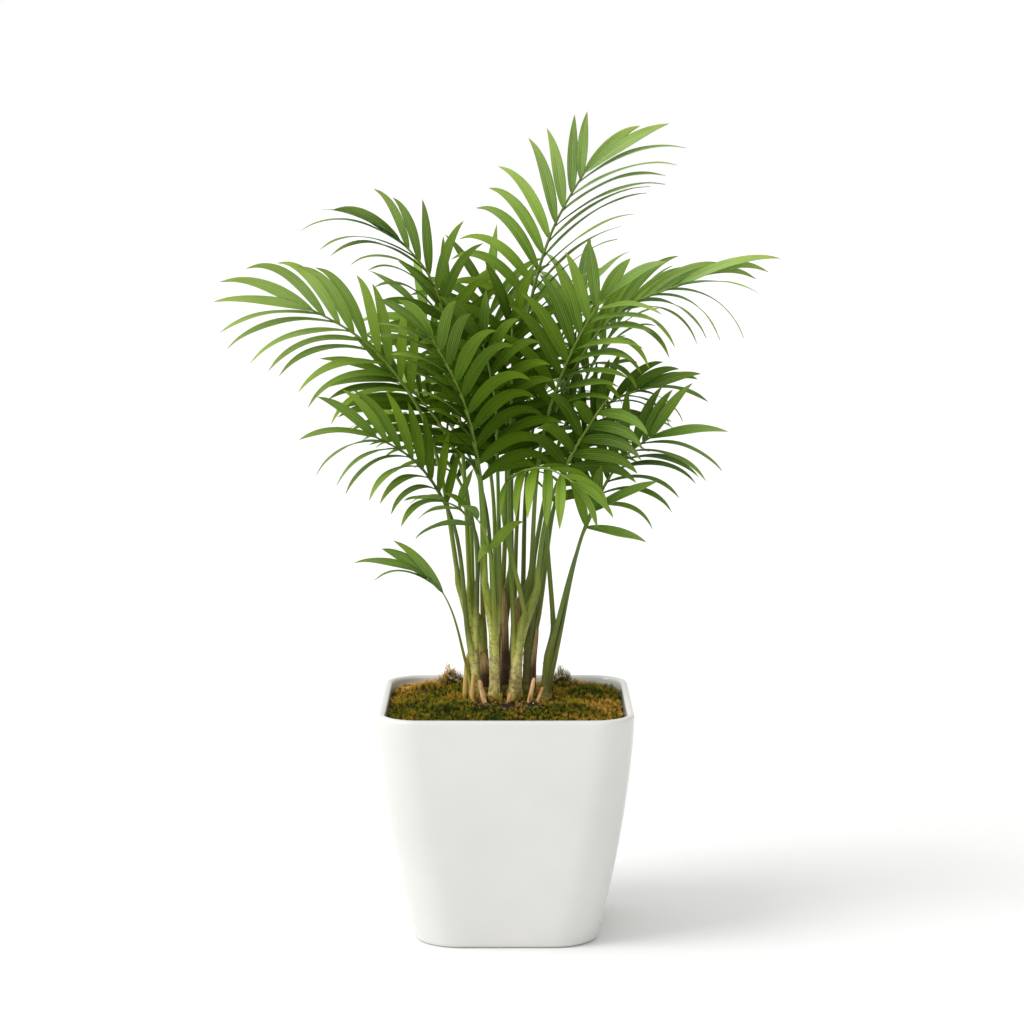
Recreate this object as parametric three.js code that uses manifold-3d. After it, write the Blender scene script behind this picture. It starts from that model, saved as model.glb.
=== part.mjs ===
// A potted parlour palm: a glossy rounded-square ceramic pot filled with soil and moss,
// and a clump of canes that carry arching pinnate fronds. Millimetres, +Z up, the front is -Y,
// and the origin is the middle of the pot's flat base.
import * as THREE from "three";
import Module from "manifold-3d";

const { Manifold, Mesh } = await Module().then((m) => {
  m.setup();
  return m;
});

// ---- driving dimensions -------------------------------------------------------------------
const POT_TOP = 90; // half the width at the rim
const POT_FOOT = 65.4; // half the width at the base
const POT_TALL = 167.5;
const POT_TAPER = 1.55; // how late the side swings out on its way down
const POT_WALL = 5.8;
const POT_FLOOR = 8;
const RIM_ROUND = 2.6; // rounding of the lip's edges
const FOOT_ROUND = 3; // rounding where the side meets the base
const CORNER_TOP = 29.7; // corner radius seen from above, at the rim and at the base
const CORNER_FOOT = 33.6;

const GAP = 0.3; // clearance between neighbouring pieces
const SOIL_TOP = 150;
const MOSS_EDGE = 160.5; // the moss where it meets the pot wall
const MOSS_DOME = 7; // how much higher the middle of the moss stands
const FOOT_LEVEL = 160; // the height from which a cane's length is counted
const ROOT_DEPTH = 126; // how far down a cane's root end reaches

const PETIOLE_RADIUS = 2.0;
const RACHIS_TIP_RADIUS = 0.8;
const LEAFLET_THICK = 1.0;
const PETIOLE_STANDOFF = 1.0; // between a cane's side and a petiole's foot

// Canes: foot [x, y], top [x, y, z], radius low down and at the top.
const CANES = {
  cane_1: { foot: [-22.5, 2], top: [-26, 0, 243], radii: [4.6, 3.2] },
  cane_2: { foot: [-8, -8], top: [-11, -8, 246], radii: [4.8, 3.0] },
  cane_3: { foot: [6, -6], top: [15, -4, 240], radii: [5.6, 2.9] },
  cane_4: { foot: [16, 8], top: [18.5, 9, 246], radii: [4.8, 3.6] },
  cane_5: { foot: [28.5, 1], top: [31.5, 1, 208], radii: [4.2, 3.1] },
  cane_6: { foot: [-15, 13], top: [-20, 14, 232], radii: [4.4, 3.0] },
  cane_7: { foot: [-2, 17], top: [-2, 19, 250], radii: [4.4, 3.2] },
  cane_8: { foot: [6.5, 23], top: [11, 25, 246], radii: [4.4, 3.2] },
};

// What a frond has unless its own line says otherwise. `spread` is the angle between a leaflet
// and the rachis, `lift` folds the two rows up into a V, `droop` is how far a leaflet bows down
// over its length and `twist` turns it about itself, so that a row lies like shingles, all in
// degrees. `last` is the spread, the share of the length and the twist of the end pair, and
// `stalk` how thick the petiole is, as a share of the usual.
const USUAL = {
  stalk: 1, pairs: 9, leaf: 62, wide: 9.4, spread: [58, 38], lift: 12, droop: 62, twist: -20,
  last: [16, 0.88, -20],
};

// Fronds. `at` is the share of the cane's height where the petiole starts and `foot` the side
// of the cane it starts from; `via` is where the blade begins, its middle and the rachis's end;
// `face` is where the upper side looks, as heading and elevation. `left` and `right` are the
// two rows of leaflets; a pair of numbers there runs from the first leaflet to the last.
const FRONDS = [
  { name: "frond_01", cane: "cane_1", at: 0.98, foot: 185, face: [285, 20],
    via: [[-68, -18, 388], [-99, -36, 426], [-136, -56, 450]],
    left: { leaf: [80, 90], spread: [42, 16], lift: 0, droop: [84, 40], twist: -60, wide: 8.4,
            last: [12, 0.84, -20] },
    right: { leaf: [66, 80], spread: [34, 26], lift: 26, droop: 82, twist: -15, wide: 8.8,
            last: [6, 0.95, -20] } },
  { name: "frond_02", cane: "cane_6", at: 0.98, foot: 200, face: [306, 20],
    via: [[-40, 3, 412], [-54, -8, 470], [-77, -22, 498]],
    left: { leaf: [56, 98], spread: [36, 12], lift: -10, droop: [95, 60], twist: -78,
            last: [12, 0.7, -75] },
    right: { leaf: [52, 58], spread: [42, 22], lift: 24, droop: 88, twist: -10, wide: 7.8,
            last: [-2, 0.98, -20] } },
  { name: "frond_03", cane: "cane_7", at: 0.98, foot: 30, face: [234, 10],
    via: [[14, 14, 436], [35, 14, 506], [58, 8, 546]],
    pairs: 11,
    left: { leaf: [82, 50], spread: [52, 28], lift: 22, droop: [100, 80], twist: -15, wide: 9.2,
            last: [-6, 1.05, -20] },
    right: { spread: [30, 25], lift: -20, leaf: 88, droop: 50, twist: -70, last: [20, 0.82, -20] } },
  { name: "frond_04", cane: "cane_4", at: 0.98, foot: -100, face: [236, 18],
    via: [[31, -30, 379], [48, -44, 424], [67, -58, 458]],
    left: { leaf: [68, 50], spread: [50, 36], lift: 30, droop: 66, wide: 10, last: [4, 0.8, -20] },
    right: { leaf: 62, spread: [44, 34], lift: -8, droop: 48, twist: -66, last: [16, 0.95, -30] } },
  { name: "frond_05", cane: "cane_5", at: 0.98, foot: 60, face: [270, 55],
    via: [[42, -6, 392], [80, -27, 446], [123, -45, 466]],
    pairs: 11,
    left: { leaf: [44, 84], spread: [26, 18], lift: 4, droop: [60, 68], twist: -48, wide: 7.8 },
    right: { leaf: [72, 86], spread: [40, 28], lift: 6, droop: [90, 74], twist: -62, wide: 8.8,
            last: [14, 0.8, -40] } },
  { name: "frond_06", cane: "cane_2", at: 0.98, foot: 230, face: [315, 0],
    via: [[-18, -30, 329], [-30, -50, 386], [-52, -70, 432]],
    pairs: 10,
    left: { leaf: 64, spread: [30, 22], lift: 0, droop: 40, twist: -62 },
    right: { leaf: [66, 48], spread: [56, 34], lift: 30, droop: 118, twist: -15, wide: 10,
            last: [4, 0.9, -20] } },
  { name: "frond_07", cane: "cane_6", at: 0.93, foot: 135, face: [245, 38],
    via: [[-38, 20, 345], [-60, 11, 380], [-82, 2, 400]],
    pairs: 8,
    left: { leaf: 68, spread: [50, 26], lift: 4, droop: 40, twist: -36, wide: 8.6 },
    right: { leaf: 50, spread: [38, 26], lift: 20, droop: 70, twist: -56, wide: 8 } },
  { name: "frond_08", cane: "cane_1", at: 0.7, foot: 235, face: [285, 45],
    via: [[-43, -20, 310], [-66, -37, 344], [-92, -50, 361]],
    pairs: 8,
    left: { leaf: [60, 76], spread: [46, 30], lift: 4, droop: [85, 58], twist: -64, wide: 8.4,
            last: [14, 0.88, -20] },
    right: { leaf: [46, 56], spread: [42, 32], lift: 16, droop: 58, twist: -35, wide: 8,
            last: [20, 0.9, -30] } },
  { name: "frond_09", cane: "cane_5", at: 0.84, foot: -35, face: [262, 25],
    via: [[63, 2, 306], [84, -9, 342], [103, -22, 358]],
    pairs: 8,
    left: { leaf: [60, 50], spread: [46, 30], lift: 15, droop: 52, twist: -20, wide: 8.4,
            last: [24, 1.1, -20] },
    right: { leaf: [60, 80], spread: [48, 24], lift: 8, droop: [85, 45], twist: -68, wide: 8 } },
  { name: "frond_10", cane: "cane_4", at: 0.8, foot: 20, face: [290, 50],
    via: [[50, 24, 345], [74, 17, 378], [104, 8, 390]],
    pairs: 8, wide: 8,
    left: { leaf: 46, spread: [38, 24], lift: 6, droop: 60, twist: -62 },
    right: { leaf: 54, spread: [46, 30], lift: 8, droop: 66, twist: -56 } },
  { name: "frond_11", cane: "cane_3", at: 0.88, foot: 272, face: [270, 75],
    via: [[5, -26, 330], [27, -46, 338], [48, -62, 329]],
    pairs: 6, wide: 8.4,
    left: { leaf: 42, spread: [66, 40], lift: -4, droop: 90 },
    right: { leaf: [50, 46], spread: [72, 46], lift: -14, droop: 100, twist: -10 } },
  { name: "frond_12", cane: "cane_2", at: 0.8, foot: 285, face: [270, 70],
    via: [[-12, -26, 278], [-16, -31, 294], [-21, -38, 302]],
    pairs: 2, leaf: 40 },
  { name: "frond_13", cane: "cane_1", at: 0.92, foot: 310, face: [230, 60],
    via: [[-24, -20, 295], [-33, -31, 308], [-43, -42, 314]],
    pairs: 3, leaf: 48 },
  { name: "frond_14", cane: "cane_5", at: 0.98, foot: -75, face: [275, 40],
    via: [[57, -10, 292], [60, -14, 299], [62, -18, 306]],
    pairs: 2,
    left: { leaf: 48, spread: [40, 30], twist: -30 },
    right: { leaf: 58, spread: [58, 58], lift: 0, droop: 24, twist: -60, last: [34, 1.05, -50] } },
  { name: "frond_15", cane: "cane_8", at: 0.98, foot: 20, face: [200, 50],
    via: [[39, 45, 348], [61, 60, 398], [84, 76, 436]] },
  { name: "frond_16", cane: "cane_3", at: 0.76, foot: 195, face: [270, 20],
    via: [[2, 2, 330], [4, -2, 385], [4, -8, 436]],
    leaf: 58 },
  { name: "frond_17", cane: "cane_7", at: 0.85, foot: 95, face: [270, 30],
    via: [[-1, 45, 358], [-7, 60, 410], [-14, 68, 450]],
    pairs: 10, leaf: 66 },
  { name: "frond_18", cane: "cane_6", at: 0.88, foot: 70, face: [280, 40],
    via: [[-26, 34, 357], [-43, 50, 402], [-60, 66, 438]] },
  { name: "frond_19", cane: "cane_8", at: 0.85, foot: 70, face: [270, 60],
    via: [[21, 60, 362], [38, 86, 414], [56, 108, 452]],
    pairs: 10 },
  { name: "frond_20", cane: "cane_2", at: 0.92, foot: 345, face: [250, 40],
    via: [[-6, -14, 334], [-8, -24, 385], [-16, -38, 424]],
    leaf: 58 },
  { name: "frond_21", cane: "cane_3", at: 0.98, foot: -8, face: [290, 40],
    via: [[32, -16, 313], [52, -34, 357], [70, -52, 387]],
    pairs: 8, leaf: 54 },
  { name: "frond_22", cane: "cane_7", at: 0.7, foot: 200, face: [250, 50],
    via: [[-14, 10, 345], [-30, 14, 400], [-44, 14, 446]],
    leaf: 60 },
  { name: "frond_23", cane: "cane_8", at: 0.7, foot: 120, face: [270, 80],
    via: [[12, 60, 328], [20, 88, 362], [30, 120, 380]] },
  { name: "frond_24", cane: "cane_7", at: 0.5, foot: 165, face: [300, 75],
    via: [[-24, 50, 330], [-46, 80, 362], [-68, 108, 378]],
    pairs: 8 },
  { name: "frond_25", cane: "cane_4", at: 0.6, foot: 80, face: [230, 75],
    via: [[44, 50, 320], [66, 74, 346], [90, 96, 356]],
    pairs: 8, leaf: 48, wide: 8 },
  { name: "frond_26", cane: "cane_6", at: 0.35, foot: 150, face: [320, 75],
    via: [[-36, 42, 322], [-58, 60, 348], [-82, 78, 360]],
    pairs: 8, leaf: 46, wide: 8 },
  { name: "juvenile_leaf", cane: "cane_1", at: 0.38, foot: 215, face: [285, 45],
    via: [[-45.5, -8.5, 245], [-49.5, -9, 251], [-54, -9.5, 255.5]],
    stalk: 0.6, pairs: 2,
    left: { leaf: 66, spread: [27, 27], lift: 6, droop: 78, twist: -55, last: [20, 0.96, -25] },
    right: { leaf: 60, spread: [-3, -3], lift: 10, droop: 48, twist: -20, last: [-2, 0.68, -20] } },
];

// Dry stubs of old leaf bases, from inside the moss to a blunt top.
const STUBS = [
  { name: "stub_1", from: [-13, -19, 156], to: [-19, -17, 183], radii: [2.4, 1.5] },
  { name: "stub_2", from: [-1, -20, 156], to: [3, -20, 174], radii: [2.0, 1.2] },
  { name: "stub_3", from: [14, -20, 156], to: [20, -14, 184], radii: [2.2, 1.3] },
  { name: "stub_4", from: [19, -20, 156], to: [26, -13, 177], radii: [1.9, 1.1] },
];

// Papery brown sheaths that still hug a cane: heights, the side they cover and how far round.
const SHEATHS = [
  { name: "sheath_1", cane: "cane_2", low: 172, high: 214, side: 20, round: 120 },
  { name: "sheath_2", cane: "cane_7", low: 174, high: 248, side: 265, round: 140 },
  { name: "sheath_3", cane: "cane_8", low: 176, high: 240, side: 250, round: 130 },
  { name: "sheath_4", cane: "cane_4", low: 173, high: 218, side: 330, round: 110 },
  { name: "sheath_5", cane: "cane_6", low: 173, high: 200, side: 258, round: 150 },
];
const SHEATH_THICK = 0.8;

// Where tufts stand up out of the moss: [x, y, height, width].
const TUFTS = [
  [-40, 62, 9, 13], [40, 60, 10, 12], [-58, 40, 4, 14], [62, 30, 3, 15],
  [-46, -40, 2.5, 16], [48, -34, 3, 15], [8, 66, 6, 12], [-66, -8, 2, 14],
];

const COLOURS = {
  ceramic: { color: 0xf4f3f0, roughness: 0.12, metalness: 0 },
  soil: { color: 0x2a1c12, roughness: 0.95, metalness: 0 },
  moss: { color: 0x5c6420, roughness: 0.95, metalness: 0 },
  cane: { color: 0x8d8b4b, roughness: 0.55, metalness: 0 },
  leaf: { color: 0x4c8a24, roughness: 0.4, metalness: 0 },
  dry: { color: 0xa97f5a, roughness: 0.8, metalness: 0 },
};

// ---- small helpers ------------------------------------------------------------------------
const UP = new THREE.Vector3(0, 0, 1);
const vec = (x, y, z) => new THREE.Vector3(x, y, z);
const mix = (a, b, t) => a + (b - a) * t;
const radians = (degrees) => (degrees * Math.PI) / 180;
const add = (p, v, k) => p.clone().addScaledVector(v, k);

// A repeatable spread of numbers between -1 and 1.
function scatter(n) {
  let x = (n * 7919 + 12345) % 2147483647;
  for (let i = 0; i < 3; i++) x = (x * 16807) % 2147483647;
  return (x / 2147483647) * 2 - 1;
}

function solid(points, triangles) {
  return new Manifold(
    new Mesh({
      numProp: 3,
      vertProperties: new Float32Array(points.flatMap((p) => [p.x, p.y, p.z])),
      triVerts: new Uint32Array(triangles.flat()),
    }),
  );
}

// Rings of equal length, each running counter-clockwise seen from the next one, are skinned;
// the first and last are closed with a fan round their middle, or with a single apex.
function skin(rings, apex) {
  const count = rings[0].length;
  const points = rings.flat();
  const triangles = [];
  for (let r = 0; r + 1 < rings.length; r++)
    for (let i = 0; i < count; i++) {
      const a = r * count + i;
      const b = r * count + ((i + 1) % count);
      triangles.push([a, b, b + count], [a, b + count, a + count]);
    }
  const last = (rings.length - 1) * count;
  const middle = (ring) =>
    ring.reduce((sum, p) => sum.add(p), vec(0, 0, 0)).divideScalar(ring.length);
  const under = points.push(middle(rings[0])) - 1;
  const over = points.push(apex || middle(rings[rings.length - 1])) - 1;
  for (let i = 0; i < count; i++) {
    const j = (i + 1) % count;
    triangles.push([under, j, i], [over, last + i, last + j]);
  }
  return solid(points, triangles);
}

// A round rod along a row of points, with its own radius at each.
function rod(points, radii, sides) {
  const rings = points.map((p, i) => {
    const before = points[Math.max(i - 1, 0)];
    const after = points[Math.min(i + 1, points.length - 1)];
    const along = after.clone().sub(before).normalize();
    const guide = Math.abs(along.z) < 0.9 ? UP : vec(0, 1, 0);
    const u = guide.clone().cross(along).normalize();
    const v = along.clone().cross(u);
    return Array.from({ length: sides }, (_, k) => {
      const a = (2 * Math.PI * k) / sides;
      return add(add(p, u, radii[i] * Math.cos(a)), v, radii[i] * Math.sin(a));
    });
  });
  return skin(rings);
}

// A grown piece is one body: pockets sealed between its own leaflets are filled in.
function whole(joined) {
  const bodies = joined.decompose().sort((a, b) => b.volume() - a.volume());
  if (bodies[1] && bodies[1].volume() > 0) throw new Error("a leaflet stands off its rachis");
  return bodies[0];
}

const group = new THREE.Group();
group.name = "potted_palm";

function place(name, made, look) {
  const mesh = made.getMesh();
  const geometry = new THREE.BufferGeometry();
  const positions = new Float32Array(mesh.vertProperties);
  geometry.setAttribute("position", new THREE.BufferAttribute(positions, 3));
  geometry.setIndex(new THREE.BufferAttribute(new Uint32Array(mesh.triVerts), 1));
  geometry.computeVertexNormals();
  const piece = new THREE.Mesh(geometry, new THREE.MeshStandardMaterial(COLOURS[look]));
  piece.name = name;
  group.add(piece);
}

// ---- pot, soil and moss -------------------------------------------------------------------
// Half the pot's outer width at a height, and its corner radius there.
const potHalf = (z) =>
  POT_TOP - (POT_TOP - POT_FOOT) * Math.pow(1 - Math.min(z / POT_TALL, 1), POT_TAPER);
const potCorner = (z) => mix(CORNER_FOOT, CORNER_TOP, Math.min(z / POT_TALL, 1));

const CORNER_STEPS = 5;

// A rounded square at a height, pulled in by `inset` from the pot's outside.
function outline(z, inset, at = z) {
  const half = potHalf(at) - inset;
  const radius = Math.max(potCorner(at) - inset, 2);
  const ring = [];
  for (let corner = 0; corner < 4; corner++) {
    const sx = [1, -1, -1, 1][corner];
    const sy = [1, 1, -1, -1][corner];
    for (let k = 0; k <= CORNER_STEPS; k++) {
      const a = (Math.PI / 2) * (corner + k / CORNER_STEPS);
      const x = sx * (half - radius) + radius * Math.cos(a);
      const y = sy * (half - radius) + radius * Math.sin(a);
      ring.push(vec(x, y, z));
    }
  }
  return ring;
}

function makePot() {
  const rings = [];
  for (const a of [0, 30, 60, 90]) {
    const c = radians(a);
    rings.push(outline(FOOT_ROUND * (1 - Math.cos(c)), FOOT_ROUND * (1 - Math.sin(c))));
  }
  for (const z of [22, 44, 66, 90, 115, 140, 156]) rings.push(outline(z, 0));
  const shoulder = POT_TALL - RIM_ROUND;
  for (const a of [0, 30, 60, 90]) {
    const c = radians(a);
    rings.push(outline(shoulder + RIM_ROUND * Math.sin(c), RIM_ROUND * (1 - Math.cos(c))));
  }
  for (const a of [90, 60, 30, 0]) {
    const c = radians(a);
    const inset = POT_WALL - RIM_ROUND * (1 - Math.cos(c));
    rings.push(outline(shoulder + RIM_ROUND * Math.sin(c), inset));
  }
  for (const z of [140, 105, 70, 35]) rings.push(outline(z, POT_WALL));
  rings.push(outline(POT_FLOOR + 4, POT_WALL + 1));
  rings.push(outline(POT_FLOOR, POT_WALL + 6));
  return skin(rings);
}

function makeSoil() {
  const rings = [outline(POT_FLOOR + GAP, POT_WALL + 7 + GAP)];
  rings.push(outline(POT_FLOOR + 4 + GAP, POT_WALL + 2 + GAP));
  for (const z of [40, 95, SOIL_TOP]) rings.push(outline(z, POT_WALL + GAP + 0.3));
  return skin(rings);
}

// Height of the moss at a point; `share` runs from 0 in the middle to 1 at the pot wall.
function mossHeight(x, y, share) {
  let z = MOSS_EDGE + MOSS_DOME * (1 - share * share);
  for (const [tx, ty, tall, wide] of TUFTS) {
    const d2 = (x - tx) * (x - tx) + (y - ty) * (y - ty);
    z += tall * Math.exp(-d2 / (0.5 * wide * wide));
  }
  z += 0.9 * Math.sin(x * 0.21 + 1.3) * Math.sin(y * 0.19 + 0.4) * (1 - share * share);
  return z;
}

function makeMoss() {
  const low = SOIL_TOP + GAP;
  const wall = POT_WALL + GAP + 0.3;
  const edge = outline(0, wall, MOSS_EDGE);
  const rings = [outline(low, wall)];
  for (const share of [1, 0.84, 0.66, 0.45, 0.24])
    rings.push(
      edge.map((p) => vec(p.x * share, p.y * share, mossHeight(p.x * share, p.y * share, share))),
    );
  return skin(rings, vec(0, 0, mossHeight(0, 0, 0)));
}

// ---- canes --------------------------------------------------------------------------------
// Middle and radius of a cane at a share of its height.
function caneAt(name, share) {
  const { foot, top, radii } = CANES[name];
  const bow = share > 0 ? share * share : 0;
  const z = mix(FOOT_LEVEL, top[2], share);
  const centre = vec(mix(foot[0], top[0], bow), mix(foot[1], top[1], bow), z);
  const radius = mix(radii[1], radii[0], Math.pow(1 - Math.max(share, 0), 1.6));
  return { centre, radius };
}

const CANE_SIDES = 8;

// The cane with its rounded root end; `grow` makes it fatter, for the socket it stands in.
function caneBody(name, sides, grow = 0) {
  const shares = [0, 0.06, 0.14, 0.28, 0.48, 0.72, 0.96, 1];
  const { centre: base, radius: thick } = caneAt(name, 0);
  const points = [vec(base.x, base.y, ROOT_DEPTH - grow)];
  points.push(vec(base.x, base.y, ROOT_DEPTH + 5 - grow));
  points.push(vec(base.x, base.y, ROOT_DEPTH + 18));
  const radii = [thick * 0.35 + grow, thick * 0.8 + grow, thick * 0.94 + grow];
  for (const share of shares) {
    const { centre, radius } = caneAt(name, share);
    points.push(centre);
    radii.push((share === 1 ? radius * 0.7 : radius) + grow);
  }
  return rod(points, radii, sides);
}

// Roots that step from the side of the outer canes down into the moss; `from` is the share of
// the cane's height where they leave it.
const PROPS = [
  { cane: "cane_1", side: 192, reach: 4.2, from: 0.5 },
  { cane: "cane_1", side: 258, reach: 4.0, from: 0.3 },
  { cane: "cane_5", side: 320, reach: 4.5, from: 0.13 },
];
const PROP_FOOT = 155; // the height where a prop root ends, inside the moss

function propRoot({ cane, side, reach, from }, grow = 0) {
  const { centre, radius } = caneAt(cane, from);
  const out = vec(Math.cos(radians(side)), Math.sin(radians(side)), 0);
  const drop = PROP_FOOT - centre.z;
  const points = [
    add(centre, out, radius * 0.3),
    add(add(centre, out, radius + 1), UP, drop * 0.2),
    add(add(centre, out, radius + reach * 0.6), UP, drop * 0.55),
    add(add(centre, out, radius + reach * 0.7), UP, drop),
  ];
  return rod(points, [1.5 + grow, 1.6 + grow, 1.5 + grow, 0.9 + grow], 6);
}

// ---- fronds -------------------------------------------------------------------------------
const SPINE_STEPS = 40;
const FINE_STEPS = 60;

// The smooth line of a petiole and rachis, cut into equal steps, with the direction and the
// upper side at each.
function spineOf(frond) {
  const { centre, radius } = caneAt(frond.cane, frond.at);
  const side = radians(frond.foot);
  const off = radius + PETIOLE_RADIUS + PETIOLE_STANDOFF;
  const start = add(centre, vec(Math.cos(side), Math.sin(side), 0), off);
  const knots = [start, ...frond.via.map((p) => vec(...p))];
  const span = [0, 1, 2].map((i) => knots[i + 1].distanceTo(knots[i]));
  const way = [0, 1, 2].map((i) =>
    knots[i + 1].clone().sub(knots[i]).divideScalar(span[i]),
  );
  const bend = (i) =>
    way[i].clone().multiplyScalar(span[i - 1]).addScaledVector(way[i - 1], span[i])
      .divideScalar(span[i - 1] + span[i]);
  const slopes = [null, bend(1), bend(2), null];
  slopes[0] = way[0].clone().multiplyScalar(1.2).addScaledVector(slopes[1], -0.2);
  slopes[3] = way[2].clone().multiplyScalar(1.5).addScaledVector(slopes[2], -0.5);

  const fine = [];
  for (let i = 0; i < 3; i++)
    for (let j = 0; j < FINE_STEPS; j++) {
      const t = j / FINE_STEPS;
      const t2 = t * t;
      const t3 = t2 * t;
      const p = knots[i].clone().multiplyScalar(2 * t3 - 3 * t2 + 1);
      p.addScaledVector(slopes[i], span[i] * (t3 - 2 * t2 + t));
      p.addScaledVector(knots[i + 1], 3 * t2 - 2 * t3);
      p.addScaledVector(slopes[i + 1], span[i] * (t3 - t2));
      fine.push(p);
    }
  fine.push(knots[3]);
  const run = [0];
  for (let i = 1; i < fine.length; i++) run.push(run[i - 1] + fine[i].distanceTo(fine[i - 1]));
  const length = run[run.length - 1];

  const points = [];
  let k = 0;
  for (let i = 0; i <= SPINE_STEPS; i++) {
    const want = (length * i) / SPINE_STEPS;
    while (k < run.length - 2 && run[k + 1] < want) k++;
    const t = (want - run[k]) / (run[k + 1] - run[k]);
    points.push(fine[k].clone().lerp(fine[k + 1], Math.min(t, 1)));
  }
  const [heading, rise] = frond.face.map(radians);
  const look = vec(
    Math.cos(rise) * Math.cos(heading),
    Math.cos(rise) * Math.sin(heading),
    Math.sin(rise),
  );
  const along = points.map((_, i) => {
    const after = points[Math.min(i + 1, SPINE_STEPS)];
    return after.clone().sub(points[Math.max(i - 1, 0)]).normalize();
  });
  const upper = along.map((t) => add(look, t, -look.dot(t)).normalize());
  return { points, along, upper, length, bladeFrom: run[FINE_STEPS] / length };
}

const rachisRadius = (share) =>
  RACHIS_TIP_RADIUS + (PETIOLE_RADIUS - RACHIS_TIP_RADIUS) * Math.pow(1 - share, 0.8);

// A leaflet's width along its length, as a share of its widest.
const leafletShape = (u) => (Math.pow(1 - u, 0.75) * Math.pow(u + 0.015, 0.6)) / 0.4035;

const LEAFLET_STEPS = 8;

// The midrib of a leaflet, which starts along a given direction and bows down on its way out.
function midribOf(base, t, side, upper, spread, length, lift, droop, louvre) {
  let d = add(side.clone().multiplyScalar(Math.cos(lift)), upper, Math.sin(lift));
  d = add(t.clone().multiplyScalar(Math.cos(spread)), d, Math.sin(spread)).normalize();
  let n = add(upper.clone().multiplyScalar(Math.cos(lift)), side, -Math.sin(lift));
  n = add(n, d, -n.dot(d)).normalize();
  n = add(n.clone().multiplyScalar(Math.cos(louvre)), n.clone().cross(d), Math.sin(louvre));
  const points = [base.clone()];
  const across = [];
  const normals = [];
  const step = length / LEAFLET_STEPS;
  for (let i = 0; i <= LEAFLET_STEPS; i++) {
    across.push(n.clone().cross(d).normalize());
    normals.push(n.clone());
    if (i === LEAFLET_STEPS) break;
    points.push(add(points[i], d, step));
    const turn = (droop * (0.2 + (1.6 * (i + 1)) / LEAFLET_STEPS)) / LEAFLET_STEPS;
    const fall = add(d.clone().multiplyScalar(d.z), UP, -1);
    const level = fall.length();
    if (level > 1e-6) {
      fall.divideScalar(level);
      d = add(d.clone().multiplyScalar(Math.cos(turn * level)), fall, Math.sin(turn * level));
      d.normalize();
      n = add(n, d, -n.dot(d)).normalize();
    }
  }
  return { points, across, normals };
}

// Boxes that stand in for rods and leaflets while a free place is looked for.
const obstacles = [];

function boxesAlong(points, acrossAt, halfWide, halfThick, overrun) {
  const boxes = [];
  for (let i = 0; i + 1 < points.length; i++) {
    const t = points[i + 1].clone().sub(points[i]);
    const length = t.length();
    t.divideScalar(length);
    const w = acrossAt(i, t).normalize();
    const n = t.clone().cross(w);
    const half = [length / 2 + overrun, halfWide(i), halfThick(i)];
    boxes.push({
      c: points[i].clone().add(points[i + 1]).multiplyScalar(0.5),
      axes: [t, w, n],
      half,
      reach: Math.hypot(...half),
    });
  }
  return boxes;
}

function rodBoxes(points, radii) {
  const acrossAt = (_, t) => t.clone().cross(Math.abs(t.z) < 0.9 ? UP : vec(1, 0, 0));
  const half = (i) => Math.max(radii[i], radii[i + 1]) + 0.25;
  return boxesAlong(points, acrossAt, half, half, 0.3);
}

function leafletBoxes(midrib, wide) {
  const shape = (i) => leafletShape(Math.min(i / LEAFLET_STEPS, 1));
  return boxesAlong(
    midrib.points,
    (i, t) => {
      const w = midrib.across[i].clone().add(midrib.across[i + 1]);
      return add(w, t, -w.dot(t));
    },
    (i) => (Math.max(shape(i), shape(i + 0.5), shape(i + 1)) * wide) / 2 + 0.35,
    () => 1.1,
    0.5,
  );
}

function apart(a, b) {
  const gap = b.c.clone().sub(a.c);
  const far = gap.length();
  if (far >= a.reach + b.reach) return true;
  const reachAlong = (box, axis) =>
    box.half.reduce((sum, h, k) => sum + h * Math.abs(box.axes[k].dot(axis)), 0);
  const axes = [...a.axes, ...b.axes, gap.clone().divideScalar(Math.max(far, 1e-9))];
  return axes.some(
    (axis) => Math.abs(gap.dot(axis)) > reachAlong(a, axis) + reachAlong(b, axis),
  );
}

const free = (boxes, owner) =>
  obstacles.every((o) => o.owner === owner || boxes.every((b) => apart(b, o)));

const occupy = (boxes, owner) => boxes.forEach((b) => obstacles.push({ ...b, owner }));

// Ways a leaflet may give way to a neighbour: more lift, more spread, share of its length.
const GIVE = [
  [0, 0, 1], [9, 0, 1], [-9, 0, 1], [0, 8, 1], [0, -8, 1], [18, 0, 1], [-18, 0, 1],
  [9, 8, 1], [-9, 8, 1], [9, -8, 1], [-9, -8, 1], [27, 0, 1], [-27, 0, 1],
  [0, 0, 0.8], [14, 0, 0.8], [-14, 0, 0.8], [28, 0, 0.8], [-28, 0, 0.8],
  [0, 12, 0.8], [0, -12, 0.8], [0, 0, 0.6], [20, 0, 0.6], [-20, 0, 0.6],
  [36, 0, 0.7], [-36, 0, 0.7], [45, 0, 0.85], [-45, 0, 0.85], [0, 24, 0.85], [0, -24, 0.7],
];

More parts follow.
